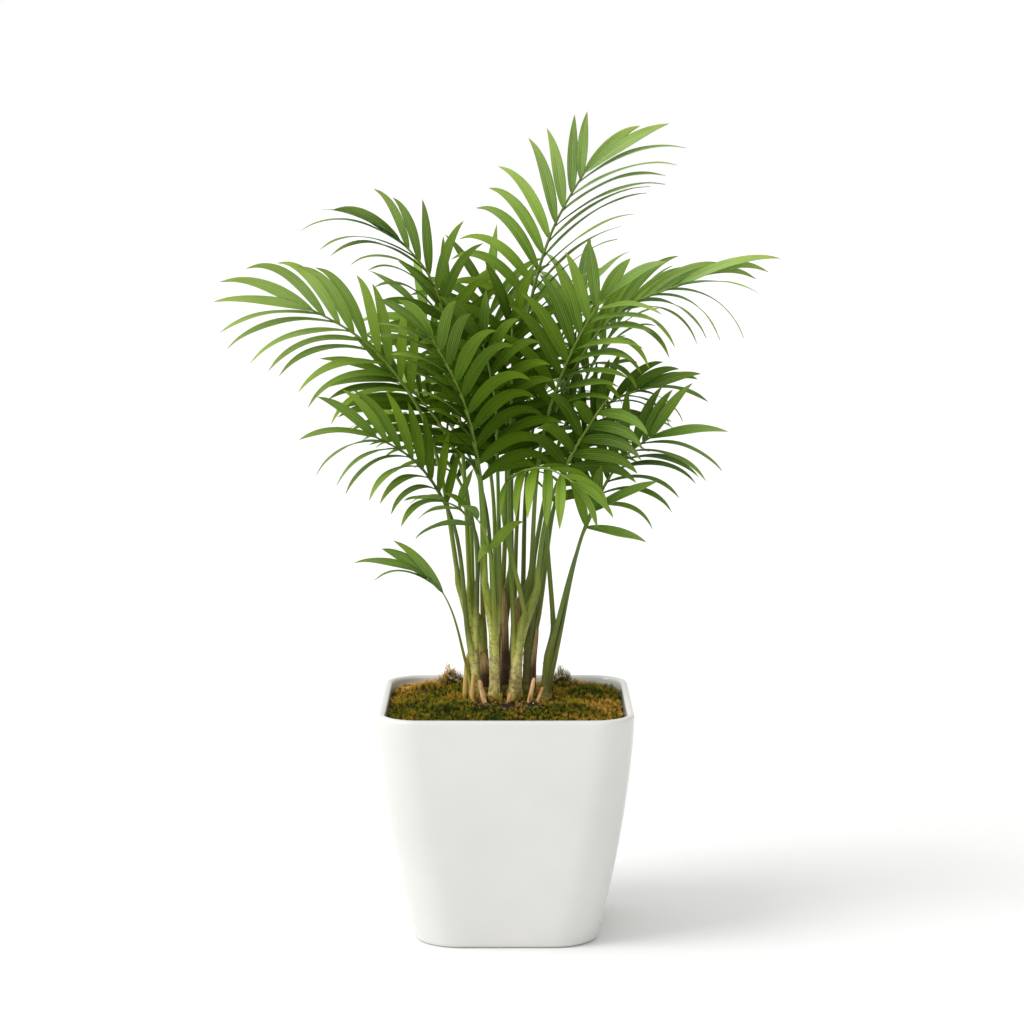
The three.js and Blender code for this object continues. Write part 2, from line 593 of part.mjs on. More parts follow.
// The leaflets of a frond, in pairs along the blade, each in the first place that is free.
function leafletsOf(frond, index, spine) {
  const made = [];
  for (let k = 0; k < frond.pairs; k++) {
    const q = k / (frond.pairs - 1);
    const last = k === frond.pairs - 1;
    for (const hand of [1, -1]) {
      const row = { ...frond, ...(hand > 0 ? frond.left : frond.right) };
      const part = (key) => (Array.isArray(row[key]) ? mix(...row[key], q) : row[key]);
      const [endSpread, endSize, endTwist] = row.last;
      const seed = index * 1000 + k * 10 + hand + 1;
      const share = last ? 0.985 : mix(spine.bladeFrom, 1, q + 0.014 * hand);
      const x = share * SPINE_STEPS;
      const i = Math.min(Math.floor(x), SPINE_STEPS - 1);
      const base = spine.points[i].clone().lerp(spine.points[i + 1], x - i);
      const t = spine.along[i].clone().lerp(spine.along[i + 1], x - i).normalize();
      let upper = spine.upper[i].clone().lerp(spine.upper[i + 1], x - i);
      upper = add(upper, t, -upper.dot(t)).normalize();
      const side = upper.clone().cross(t).multiplyScalar(hand);
      const spread = last ? endSpread : part("spread") + 3 * scatter(seed + 1);
      const size = last ? endSize : 0.74 + 0.26 * Math.sin(Math.PI * (0.18 + 0.62 * q));
      const length = part("leaf") * size * (1 + 0.05 * scatter(seed + 2));
      const fullness = last ? 1 : 0.85 + 0.15 * Math.sin(Math.PI * q);
      const wide = row.wide * fullness * (1 + 0.06 * scatter(seed + 3));
      const lift = part("lift") + 4 * scatter(seed + 4);
      const droop = radians(part("droop") * (last ? 0.6 : 1) + 6 * scatter(seed + 5));
      const louvre = radians(last ? endTwist : row.twist) * hand;
      for (const [moreLift, moreSpread, scale] of GIVE) {
        const midrib = midribOf(
          base, t, side, upper, radians(spread + moreSpread), length * scale,
          radians(lift + moreLift), droop, louvre,
        );
        const boxes = leafletBoxes(midrib, wide);
        if (!free(boxes, index)) continue;
        occupy(boxes, index);
        made.push({ midrib, wide });
        break;
      }
    }
  }
  return made;
}

// A leaflet as a thin blade with a keel under its midrib.
function leafletBody({ midrib, wide }) {
  const rings = [0, 3, 6].map((i) => {
    const half = i ? (leafletShape(i / LEAFLET_STEPS) * wide) / 2 : 0.6;
    const p = midrib.points[i];
    return [
      add(p, midrib.across[i], half),
      add(p, midrib.across[i], -half),
      add(p, midrib.normals[i], i ? -LEAFLET_THICK : -0.6),
    ];
  });
  return skin(rings, midrib.points[LEAFLET_STEPS]);
}

function frondBody(frond, spine, leaflets) {
  const stops = [];
  for (let i = 0; i < 4; i++) stops.push((spine.bladeFrom * i) / 4);
  for (let i = 0; i <= 7; i++) stops.push(mix(spine.bladeFrom, 1, i / 7));
  const rings = stops.map((share) => {
    const i = Math.round(share * SPINE_STEPS);
    const side = spine.upper[i].clone().cross(spine.along[i]);
    const radius = rachisRadius(i / SPINE_STEPS) * frond.stalk;
    return Array.from({ length: 5 }, (_, k) => {
      const a = (2 * Math.PI * k) / 5;
      const p = add(spine.points[i], side, radius * Math.cos(a));
      return add(p, spine.upper[i], radius * Math.sin(a));
    });
  });
  return whole(Manifold.union([skin(rings), ...leaflets.map(leafletBody)]));
}

// ---- stubs and sheaths --------------------------------------------------------------------
function stubBody({ from, to, radii }, grow = 0) {
  const a = vec(...from);
  const b = vec(...to);
  const points = [0, 0.35, 0.7, 0.94, 1].map((s) => a.clone().lerp(b, s));
  const girth = [0, 0.35, 0.7, 0.94, 1].map((s) =>
    (s === 1 ? radii[1] * 0.6 : mix(radii[0], radii[1], s)) + grow);
  points[0].z -= grow;
  return rod(points, girth, 7);
}

// A strip bent round a cane, narrow at its torn top.
function sheathBody({ cane, low, high, side, round }) {
  const rows = 6;
  const columns = 8;
  const span = CANES[cane].top[2] - FOOT_LEVEL;
  const points = [];
  for (const skinOut of [0, 1])
    for (let r = 0; r <= rows; r++)
      for (let c = 0; c <= columns; c++) {
        const up = r / rows;
        const z = mix(low, high, up);
        const { centre, radius } = caneAt(cane, (z - FOOT_LEVEL) / span);
        const narrow = 1 - 0.75 * up * up;
        const a = radians(side + round * narrow * (c / columns - 0.5));
        const flare = 0.6 + 1.1 * up * up;
        const far = radius + flare + skinOut * SHEATH_THICK;
        points.push(vec(centre.x + far * Math.cos(a), centre.y + far * Math.sin(a), z));
      }
  const at = (s, r, c) => (s * (rows + 1) + r) * (columns + 1) + c;
  const triangles = [];
  const quad = (a, b, c, d) => triangles.push([a, b, c], [a, c, d]);
  for (let r = 0; r < rows; r++)
    for (let c = 0; c < columns; c++) {
      quad(at(1, r, c), at(1, r, c + 1), at(1, r + 1, c + 1), at(1, r + 1, c));
      quad(at(0, r, c), at(0, r + 1, c), at(0, r + 1, c + 1), at(0, r, c + 1));
    }
  for (let c = 0; c < columns; c++) {
    quad(at(0, 0, c), at(0, 0, c + 1), at(1, 0, c + 1), at(1, 0, c));
    quad(at(0, rows, c), at(1, rows, c), at(1, rows, c + 1), at(0, rows, c + 1));
  }
  for (let r = 0; r < rows; r++) {
    quad(at(0, r, 0), at(1, r, 0), at(1, r + 1, 0), at(0, r + 1, 0));
    quad(at(0, r, columns), at(0, r + 1, columns), at(1, r + 1, columns), at(1, r, columns));
  }
  return solid(points, triangles);
}

// ---- put it together ----------------------------------------------------------------------
const caneNames = Object.keys(CANES);
const sockets = [
  ...caneNames.map((name) => caneBody(name, CANE_SIDES, GAP + 0.15)),
  ...PROPS.map((prop) => propRoot(prop, GAP + 0.15)),
  ...STUBS.map((stub) => stubBody(stub, GAP + 0.15)),
];
const socket = Manifold.union(sockets);

place("pot", makePot(), "ceramic");
place("soil", makeSoil().subtract(socket), "soil");
place("moss", makeMoss().subtract(socket), "moss");

for (const name of caneNames) {
  const roots = PROPS.filter((prop) => prop.cane === name).map((prop) => propRoot(prop));
  place(name, Manifold.union([caneBody(name, CANE_SIDES), ...roots]), "cane");
  const shares = [0, 1, 2, 3, 4, 5, 6, 7, 8].map((i) => caneAt(name, i / 8));
  occupy(rodBoxes(shares.map((s) => s.centre), shares.map((s) => s.radius)), name);
}
for (const stub of STUBS) place(stub.name, stubBody(stub), "dry");
for (const sheath of SHEATHS) place(sheath.name, sheathBody(sheath), "dry");

const fronds = FRONDS.map((frond) => ({ ...USUAL, ...frond }));
const spines = fronds.map(spineOf);
spines.forEach((spine, index) => {
  const radii = spine.points.map((_, i) => rachisRadius(i / SPINE_STEPS));
  occupy(rodBoxes(spine.points, radii), index);
});
fronds.forEach((frond, index) => {
  const leaflets = leafletsOf(frond, index, spines[index]);
  place(frond.name, frondBody(frond, spines[index], leaflets), "leaf");
});

export default group;
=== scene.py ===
import math

import bpy
import numpy as np
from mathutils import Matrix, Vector


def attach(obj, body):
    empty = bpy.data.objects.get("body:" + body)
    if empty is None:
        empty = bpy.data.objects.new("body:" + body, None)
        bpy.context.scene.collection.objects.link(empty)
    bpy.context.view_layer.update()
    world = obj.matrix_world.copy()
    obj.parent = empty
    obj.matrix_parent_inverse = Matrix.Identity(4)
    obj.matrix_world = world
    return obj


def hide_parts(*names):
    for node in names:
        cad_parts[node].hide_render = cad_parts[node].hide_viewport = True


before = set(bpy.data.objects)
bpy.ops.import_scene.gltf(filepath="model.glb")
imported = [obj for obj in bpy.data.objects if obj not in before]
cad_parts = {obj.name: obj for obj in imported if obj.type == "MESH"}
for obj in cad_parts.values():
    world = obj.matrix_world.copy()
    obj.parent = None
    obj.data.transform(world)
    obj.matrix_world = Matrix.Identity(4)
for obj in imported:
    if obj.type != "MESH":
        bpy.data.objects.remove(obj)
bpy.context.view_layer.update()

# ---- dimensions shared with the CAD part, in millimetres and degrees ------------------------
POT_TOP, POT_FOOT, POT_TALL, POT_TAPER = 90, 65.4, 167.5, 1.55
POT_WALL, POT_FLOOR, RIM_ROUND, FOOT_ROUND = 5.8, 8, 2.6, 3
CORNER_TOP, CORNER_FOOT = 29.7, 33.6
MOSS_EDGE, MOSS_DOME, FOOT_LEVEL = 160.5, 7, 160
PETIOLE_RADIUS, RACHIS_TIP_RADIUS, PETIOLE_STANDOFF = 2.0, 0.8, 1.0
UP = np.array([0.0, 0.0, 1.0])
METRES = 0.001

# Each cane's foot, its top, and the radius at the foot and at the top.
CANES = {
    "cane_1": ((-22.5, 2), (-26, 0, 243), (4.6, 3.2)),
    "cane_2": ((-8, -8), (-11, -8, 246), (4.8, 3.0)),
    "cane_3": ((6, -6), (15, -4, 240), (5.6, 2.9)),
    "cane_4": ((16, 8), (18.5, 9, 246), (4.8, 3.6)),
    "cane_5": ((28.5, 1), (31.5, 1, 208), (4.2, 3.1)),
    "cane_6": ((-15, 13), (-20, 14, 232), (4.4, 3.0)),
    "cane_7": ((-2, 17), (-2, 19, 250), (4.4, 3.2)),
    "cane_8": ((6.5, 23), (11, 25, 246), (4.4, 3.2)),
}


def row(leaf, spread, lift, droop, twist, **unusual):
    """A row of leaflets: their length, the angle off the rachis, how far they rise, bend down and
    turn. A pair of numbers runs from the first leaflet to the last."""
    return dict(leaf=leaf, spread=spread, lift=lift, droop=droop, twist=twist, **unusual)


# `last` is the leaflet at the end of a row: its spread, share of the usual length, and twist.
USUAL = dict(stalk=1, pairs=9, wide=9.4, last=(16, 0.88, -20), **row(62, (58, 38), 12, 62, -20))


def frond(name, cane, at, foot, face, via, **unusual):
    """A frond's cane, the share of its height and the side it leaves from, the heading and rise
    of its upper face, and where its blade begins, has its middle and ends."""
    return {**USUAL, "name": name, "cane": cane, "at": at, "foot": foot, "face": face, "via": via,
            **unusual}


FRONDS = [
    frond("frond_01", "cane_1", 0.98, 185, (285, 20),
          ((-68, -18, 388), (-99, -36, 426), (-136, -56, 450)),
          left=row((80, 90), (42, 16), 0, (84, 40), -60, wide=8.4, last=(12, 0.84, -20)),
          right=row((66, 80), (34, 26), 26, 82, -15, wide=8.8, last=(6, 0.95, -20))),
    frond("frond_02", "cane_6", 0.98, 200, (306, 20), ((-40, 3, 412), (-54, -8, 470), (-77, -22, 498)),
          left=row((56, 98), (36, 12), -10, (95, 60), -78, last=(12, 0.7, -75)),
          right=row((52, 58), (42, 22), 24, 88, -10, wide=7.8, last=(-2, 0.98, -20))),
    frond("frond_03", "cane_7", 0.98, 30, (234, 10), ((14, 14, 436), (35, 14, 506), (58, 8, 546)),
          pairs=11,
          left=row((82, 50), (52, 28), 22, (100, 80), -15, wide=9.2, last=(-6, 1.05, -20)),
          right=row(88, (30, 25), -20, 50, -70, last=(20, 0.82, -20))),
    frond("frond_04", "cane_4", 0.98, -100, (236, 18), ((31, -30, 379), (48, -44, 424), (67, -58, 458)),
          left=row((68, 50), (50, 36), 30, 66, -20, wide=10, last=(4, 0.8, -20)),
          right=row(62, (44, 34), -8, 48, -66, last=(16, 0.95, -30))),
    frond("frond_05", "cane_5", 0.98, 60, (270, 55), ((42, -6, 392), (80, -27, 446), (123, -45, 466)),
          pairs=11,
          left=row((44, 84), (26, 18), 4, (60, 68), -48, wide=7.8),
          right=row((72, 86), (40, 28), 6, (90, 74), -62, wide=8.8, last=(14, 0.8, -40))),
    frond("frond_06", "cane_2", 0.98, 230, (315, 0), ((-18, -30, 329), (-30, -50, 386), (-52, -70, 432)),
          pairs=10,
          left=row(64, (30, 22), 0, 40, -62),
          right=row((66, 48), (56, 34), 30, 118, -15, wide=10, last=(4, 0.9, -20))),
    frond("frond_07", "cane_6", 0.93, 135, (245, 38), ((-38, 20, 345), (-60, 11, 380), (-82, 2, 400)),
          pairs=8,
          left=row(68, (50, 26), 4, 40, -36, wide=8.6),
          right=row(50, (38, 26), 20, 70, -56, wide=8)),
    frond("frond_08", "cane_1", 0.7, 235, (285, 45), ((-43, -20, 310), (-66, -37, 344), (-92, -50, 361)),
          pairs=8,
          left=row((60, 76), (46, 30), 4, (85, 58), -64, wide=8.4, last=(14, 0.88, -20)),
          right=row((46, 56), (42, 32), 16, 58, -35, wide=8, last=(20, 0.9, -30))),
    frond("frond_09", "cane_5", 0.84, -35, (262, 25), ((63, 2, 306), (84, -9, 342), (103, -22, 358)),
          pairs=8,
          left=row((60, 50), (46, 30), 15, 52, -20, wide=8.4, last=(24, 1.1, -20)),
          right=row((60, 80), (48, 24), 8, (85, 45), -68, wide=8)),
    frond("frond_10", "cane_4", 0.8, 20, (290, 50), ((50, 24, 345), (74, 17, 378), (104, 8, 390)),
          pairs=8, wide=8,
          left=row(46, (38, 24), 6, 60, -62),
          right=row(54, (46, 30), 8, 66, -56)),
    frond("frond_11", "cane_3", 0.88, 272, (270, 75), ((5, -26, 330), (27, -46, 338), (48, -62, 329)),
          pairs=6, wide=8.4,
          left=row(42, (66, 40), -4, 90, -20),
          right=row((50, 46), (72, 46), -14, 100, -10)),
    frond("frond_12", "cane_2", 0.8, 285, (270, 70), ((-12, -26, 278), (-16, -31, 294), (-21, -38, 302)),
          pairs=2, leaf=40),
    frond("frond_13", "cane_1", 0.92, 310, (230, 60), ((-24, -20, 295), (-33, -31, 308), (-43, -42, 314)),
          pairs=3, leaf=48),
    frond("frond_14", "cane_5", 0.98, -75, (275, 40), ((57, -10, 292), (60, -14, 299), (62, -18, 306)),
          pairs=2,
          left=row(48, (40, 30), 12, 62, -30),
          right=row(58, (58, 58), 0, 24, -60, last=(34, 1.05, -50))),
    frond("frond_15", "cane_8", 0.98, 20, (200, 50), ((39, 45, 348), (61, 60, 398), (84, 76, 436))),
    frond("frond_16", "cane_3", 0.76, 195, (270, 20), ((2, 2, 330), (4, -2, 385), (4, -8, 436)), leaf=58),
    frond("frond_17", "cane_7", 0.85, 95, (270, 30), ((-1, 45, 358), (-7, 60, 410), (-14, 68, 450)),
          pairs=10, leaf=66),
    frond("frond_18", "cane_6", 0.88, 70, (280, 40), ((-26, 34, 357), (-43, 50, 402), (-60, 66, 438))),
    frond("frond_19", "cane_8", 0.85, 70, (270, 60), ((21, 60, 362), (38, 86, 414), (56, 108, 452)),
          pairs=10),
    frond("frond_20", "cane_2", 0.92, 345, (250, 40), ((-6, -14, 334), (-8, -24, 385), (-16, -38, 424)),
          leaf=58),
    frond("frond_21", "cane_3", 0.98, -8, (290, 40), ((32, -16, 313), (52, -34, 357), (70, -52, 387)),
          pairs=8, leaf=54),
    frond("frond_22", "cane_7", 0.7, 200, (250, 50), ((-14, 10, 345), (-30, 14, 400), (-44, 14, 446)),
          leaf=60),
    frond("frond_23", "cane_8", 0.7, 120, (270, 80), ((12, 60, 328), (20, 88, 362), (30, 120, 380))),
    frond("frond_24", "cane_7", 0.5, 165, (300, 75), ((-24, 50, 330), (-46, 80, 362), (-68, 108, 378)),
          pairs=8),
    frond("frond_25", "cane_4", 0.6, 80, (230, 75), ((44, 50, 320), (66, 74, 346), (90, 96, 356)),
          pairs=8, leaf=48, wide=8),
    frond("frond_26", "cane_6", 0.35, 150, (320, 75), ((-36, 42, 322), (-58, 60, 348), (-82, 78, 360)),
          pairs=8, leaf=46, wide=8),
    frond("juvenile_leaf", "cane_1", 0.38, 215, (285, 45),
          ((-45.5, -8.5, 245), (-49.5, -9, 251), (-54, -9.5, 255.5)), stalk=0.6, pairs=2,
          left=row(66, (27, 27), 6, 78, -55, last=(20, 0.96, -25)),
          right=row(60, (-3, -3), 10, 48, -20, last=(-2, 0.68, -20))),
]
# Dry leaf bases: foot, end, and the radius at each.
STUBS = [
    ("stub_1", (-13, -19, 156), (-19, -17, 183), (2.4, 1.5)),
    ("stub_2", (-1, -20, 156), (3, -20, 174), (2.0, 1.2)),
    ("stub_3", (14, -20, 156), (20, -14, 184), (2.2, 1.3)),
    ("stub_4", (19, -20, 156), (26, -13, 177), (1.9, 1.1)),
]
# Dry sheaths: the cane, the height of the foot and of the tip, which way it faces and its width.
SHEATHS = [
    ("sheath_1", "cane_2", 172, 214, 20, 120),
    ("sheath_2", "cane_7", 174, 248, 265, 140),
    ("sheath_3", "cane_8", 176, 240, 250, 130),
    ("sheath_4", "cane_4", 173, 218, 330, 110),
    ("sheath_5", "cane_6", 173, 200, 258, 150),
]
# Prop roots: the cane, which way they grow, how far out, and where on the cane they start.
PROPS = [("cane_1", 192, 4.2, 0.5), ("cane_1", 258, 4.0, 0.3), ("cane_5", 320, 4.5, 0.13)]
PROP_FOOT = 155
# Where the moss rises: x, y, how high and how wide.
TUFTS = [(-40, 62, 9, 13), (40, 60, 10, 12), (-58, 40, 4, 14), (62, 30, 3, 15),
         (-46, -40, 2.5, 16), (48, -34, 3, 15), (8, 66, 6, 12), (-66, -8, 2, 14)]
# How much lighter or darker than usual a frond is, where it isn't left to chance.
TONES = dict(frond_01=0.34, frond_02=0.10, frond_03=0.22, frond_04=0.06, frond_05=0.20, frond_06=0.06,
             frond_07=0.06, frond_08=0.14, frond_09=-0.12, frond_10=-0.14, frond_11=0.28,
             frond_12=0.34, frond_13=0.30, frond_14=0.0, frond_16=-0.10, frond_20=-0.06,
             frond_21=-0.20, frond_22=0.16, juvenile_leaf=0.06)
# The middle of the crown and how far it reaches: leaflets in its depths are painted darker, as shade, and
# those near its edge painted lighter, as light.
CROWN, CROWN_REACH = (0, 10, 385), (150, 130, 135)
# Where the moss is golden rather than green: x, y, width and how much.
GOLDEN = [(-62, 60, 34, 0.5), (-82, 6, 16, 0.5), (76, -12, 34, 0.45), (40, 60, 26, 0.3),
          (30, 20, 16, 0.4), (-24, -6, 20, 0.35), (62, -72, 24, 0.35), (-70, -70, 14, 0.2),
          (-30, -40, 40, -0.12), (56, 24, 20, -0.15)]
# Ways a leaflet gives way to a neighbour: more lift, more spread, share of its length.
GIVE = [
    (0, 0, 1), (9, 0, 1), (-9, 0, 1), (0, 8, 1), (0, -8, 1), (18, 0, 1), (-18, 0, 1),
    (9, 8, 1), (-9, 8, 1), (9, -8, 1), (-9, -8, 1), (27, 0, 1), (-27, 0, 1),
    (0, 0, 0.8), (14, 0, 0.8), (-14, 0, 0.8), (28, 0, 0.8), (-28, 0, 0.8),
    (0, 12, 0.8), (0, -12, 0.8), (0, 0, 0.6), (20, 0, 0.6), (-20, 0, 0.6),
    (36, 0, 0.7), (-36, 0, 0.7), (45, 0, 0.85), (-45, 0, 0.85), (0, 24, 0.85), (0, -24, 0.7),
]


# ---- small helpers --------------------------------------------------------------------------
def unit(v):
    return v / np.maximum(np.linalg.norm(v, axis=-1, keepdims=True), 1e-12)


def mix(a, b, t):
    return a + (b - a) * t


def smooth(t):
    t = np.clip(t, 0, 1)
    return t * t * (3 - 2 * t)


def heading(degrees):
    a = math.radians(degrees)
    return np.array([math.cos(a), math.sin(a), 0.0])


def bell(x, at, width):
    return np.exp(-((x - at) / width) ** 2)


def hill(x, y, at_x, at_y, wide):
    """1 at a place, falling to 0 about as far away as it is wide."""
    return np.exp(-((x - at_x) ** 2 + (y - at_y) ** 2) / (0.5 * wide**2))


def scatter(n):
    """A repeatable spread of numbers between -1 and 1."""
    prime = 2**31 - 1
    x = (n * 7919 + 12345) % prime
    for _ in range(3):
        x = x * 16807 % prime
    return x / prime * 2 - 1


def resample(rows, at):
    """Rows of points or numbers read at fractional indices, with a smooth curve between."""
    rows = np.asarray(rows, float)
    flat = rows.reshape(len(rows), -1)
    n = len(rows)
    i = np.clip(np.floor(at).astype(int), 0, n - 2)
    t = (at - i)[:, None]
    p0, p1, p2, p3 = (flat[np.clip(i + k, 0, n - 1)] for k in (-1, 0, 1, 2))
    p0 = np.where((i == 0)[:, None], 2 * p1 - p2, p0)
    p3 = np.where((i == n - 2)[:, None], 2 * p2 - p1, p3)
    out = 0.5 * (2 * p1 + (p2 - p0) * t + (2 * p0 - 5 * p1 + 4 * p2 - p3) * t**2
                 + (3 * p1 - p0 - 3 * p2 + p3) * t**3)
    return out.reshape((len(at),) + rows.shape[1:])


def place(name, data):
    """Puts a new object in the scene."""
    made = bpy.data.objects.new(name, data)
    bpy.context.scene.collection.objects.link(made)
    return made


class Shape:
    """Vertices, faces and values at the vertices, gathered into one mesh."""

    def __init__(self):
        self.points, self.faces, self.looks, self.values, self.count = [], [], [], [], 0

    def add(self, points, faces, looks=0, **values):
        """Points, groups of faces with a material for each group, and values at the points."""
        points = points.reshape(-1, 3)
        self.points.append(points)
        for group, look in zip(faces, np.broadcast_to(looks, len(faces))):
            self.faces.append(group + self.count)
            self.looks.append(np.full(len(group), look))
        values = {k: np.broadcast_to(np.ravel(v), len(points)) for k, v in values.items()}
        self.values.append((len(points), values))
        self.count += len(points)

    def strip(self, rings, look=0, **values):
        """Skins a row of equal closed rings and closes both ends."""
        rings = np.asarray(rings, float)
        rows, count = rings.shape[:2]
        idx = np.arange(rows * count).reshape(rows, count)
        right = np.roll(idx, -1, axis=1)
        faces = [np.stack([idx[:-1], right[:-1], right[1:], idx[1:]], -1).reshape(-1, 4),
                 np.stack([np.full(count, idx.size), right[0], idx[0]], -1),
                 np.stack([np.full(count, idx.size + 1), idx[-1], right[-1]], -1)]
        for key, v in values.items():
            v = np.asarray(v, float)
            v = (np.repeat(v, count) if v.size == rows else v).reshape(-1)
            values[key] = np.append(v, [v[0], v[-1]]) if v.size > 1 else v
        points = np.vstack([rings.reshape(-1, 3), rings[0].mean(0), rings[-1].mean(0)])
        self.add(points, faces, look, **values)

    def shell(self, front, back, back_look=0, **values):
        """A thin solid between two equal grids of points; the edges look as the back does."""
        idx = np.arange(front.shape[0] * front.shape[1]).reshape(front.shape[:2])
        quads = np.stack([idx[:-1, :-1], idx[1:, :-1], idx[1:, 1:], idx[:-1, 1:]], -1).reshape(-1, 4)
        rim = np.concatenate([idx[:, 0], idx[-1, 1:], idx[::-1, -1][1:], idx[0, ::-1][1:-1]])
        after = np.roll(rim, -1)
        sides = np.stack([after, after + idx.size, rim + idx.size, rim], -1)
        values = {k: np.tile(v, 2) if np.size(v) == idx.size else v for k, v in values.items()}
        self.add(np.stack([front, back]), [quads[:, ::-1], quads + idx.size, sides],
                 (0, back_look, back_look), **values)

    def make(self, name, materials, node, sharp=False):
        """Makes the piece that takes the place of a CAD node."""
        mesh = bpy.data.meshes.new(name)
        points = np.vstack(self.points) * METRES
        sizes = np.concatenate([np.full(len(f), f.shape[1]) for f in self.faces])
        loops = np.concatenate([f.reshape(-1) for f in self.faces])
        mesh.vertices.add(len(points))
        mesh.vertices.foreach_set("co", points.reshape(-1).astype(np.float32))
        mesh.loops.add(len(loops))
        mesh.loops.foreach_set("vertex_index", loops.astype(np.int32))
        mesh.polygons.add(len(sizes))
        starts = np.concatenate([[0], np.cumsum(sizes)[:-1]])
        mesh.polygons.foreach_set("loop_start", starts.astype(np.int32))
        mesh.polygons.foreach_set("material_index", np.concatenate(self.looks).astype(np.int32))
        mesh.update(calc_edges=True)
        mesh.polygons.foreach_set("use_smooth", np.full(len(sizes), not sharp))
        for key in sorted({k for _, values in self.values for k in values}):
            data = np.concatenate([values.get(key, np.zeros(n)) for n, values in self.values])
            made = mesh.attributes.new(key, "FLOAT", "POINT")
            made.data.foreach_set("value", data.astype(np.float32))
        mesh.validate()
        for m in materials:
            mesh.materials.append(m)
        made = place(name, mesh)
        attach(made, "root")
        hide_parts(node)


def tube(points, radii, sides):
    """Rings round a line, square to it, that don't spin on the way."""
    along = unit(np.gradient(points, axis=0))
    side = unit(np.cross(UP, along[0])) if abs(along[0] @ UP) < 0.95 else np.array([1.0, 0, 0])
    across = []
    for t in along:
        side = unit(side - (side @ t) * t)
        across.append(side)
    across = np.array(across)[:, None]
    other = np.cross(along, across[:, 0])[:, None]
    a = np.linspace(0, 2 * math.pi, sides, endpoint=False)[None, :, None]
    ring = across * np.cos(a) + other * np.sin(a)
    return points[:, None] + ring * np.asarray(radii, float)[:, None, None]


# ---- materials ------------------------------------------------------------------------------
class Nodes:
    """A node tree, written from its inputs to its output."""

    def __init__(self, owner, output):
        owner.use_nodes = True
        self.tree = owner.node_tree
        self.tree.nodes.clear()
        self.out = self.tree.nodes.new(output)

    def node(self, kind, inputs=(), **settings):
        made = self.tree.nodes.new(kind)
        for k, v in settings.items():
            setattr(made, k, v)
        for k, v in dict(inputs).items():
            self.put(made.inputs[k], v)
        return made

    def put(self, socket, value):
        if isinstance(value, bpy.types.NodeSocket):
            self.tree.links.new(value, socket)
        elif isinstance(value, tuple) and len(value) == 3 and socket.type == "RGBA":
            socket.default_value = (*value, 1)
        else:
            socket.default_value = value


class Look(Nodes):
    """A material, placed on the object itself, that reads the values kept at its vertices."""

    def __init__(self, name):
        self.mat = bpy.data.materials.new(name)
        super().__init__(self.mat, "ShaderNodeOutputMaterial")
        self.where = self.node("ShaderNodeTexCoord").outputs["Object"]

    def value(self, name):
        return self.node("ShaderNodeAttribute", attribute_name=name).outputs["Fac"]

    def math(self, op, a, b=0.0, clamp=False):
        return self.node("ShaderNodeMath", {0: a, 1: b}, operation=op, use_clamp=clamp).outputs[0]

    def times(self, a, b, clamp=False):
        return self.math("MULTIPLY", a, b, clamp)

    def noise(self, scale, detail=3.0, rough=0.55, stretch=None):
        where = self.where
        if stretch:
            where = self.node("ShaderNodeMapping", {"Vector": where, "Scale": (1, 1, stretch)}).outputs[0]
        return self.node("ShaderNodeTexNoise", {"Vector": where, "Scale": scale, "Detail": detail,
                                                "Roughness": rough}).outputs["Fac"]

    def ramp(self, fac, *stops):
        made = self.node("ShaderNodeValToRGB", {"Fac": fac})
        elements = made.color_ramp.elements
        while len(elements) < len(stops):
            elements.new(0.5)
        for element, (at, colour) in zip(elements, stops):
            element.position = at
            element.color = (*colour, 1) if isinstance(colour, tuple) else (colour,) * 3 + (1,)
        return made.outputs["Color"]

    def blend(self, fac, a, b, how="MIX"):
        made = self.node("ShaderNodeMix", data_type="RGBA", blend_type=how)
        for socket, v in ((made.inputs[0], fac), (made.inputs[6], a), (made.inputs[7], b)):
            self.put(socket, v)
        return made.outputs[2]

    def tint(self, a, b):
        return self.blend(1.0, a, b, "MULTIPLY")

    def range(self, fac, a, b, to0, to1):
        return self.node("ShaderNodeMapRange", {0: fac, 1: a, 2: b, 3: to0, 4: to1}).outputs[0]

    def bump(self, height, distance, strength):
        return self.node("ShaderNodeBump", {"Height": height, "Distance": distance,
                                            "Strength": strength}).outputs[0]

    def shine(self, colour, rough, normal=None, through=0.0, light=None, **more):
        made = self.node("ShaderNodeBsdfPrincipled", {"Base Color": colour, "Roughness": rough})
        for k, v in more.items():
            self.put(made.inputs[k.replace("_", " ")], v)
        if normal is not None:
            self.put(made.inputs["Normal"], normal)
        end = made.outputs[0]
        if through:
            back = self.node("ShaderNodeBsdfTranslucent", {"Color": light})
            if normal is not None:
                self.put(back.inputs["Normal"], normal)
            end = self.node("ShaderNodeMixShader", {0: through, 1: end, 2: back.outputs[0]}).outputs[0]
        self.tree.links.new(end, self.out.inputs["Surface"])
        return self.mat


def glaze():
    m = Look("glazed_white")
    tone = m.ramp(m.noise(14, 2), (0.3, (0.640, 0.636, 0.615)), (0.7, (0.672, 0.668, 0.650)))
    tone = m.tint(tone, m.ramp(m.noise(900, 1, 0.4), (0.0, 0.93), (0.27, 1.0)))
    wave = m.math("ADD", m.noise(38, 2), m.times(m.noise(420, 1), 0.05))
    rough = m.range(m.noise(60, 3), 0.3, 0.7, 0.07, 0.13)
    return m.shine(tone, rough, m.bump(wave, 0.0006, 0.35), Specular_IOR_Level=0.5,
                   Coat_Weight=0.25, Coat_Roughness=0.04)


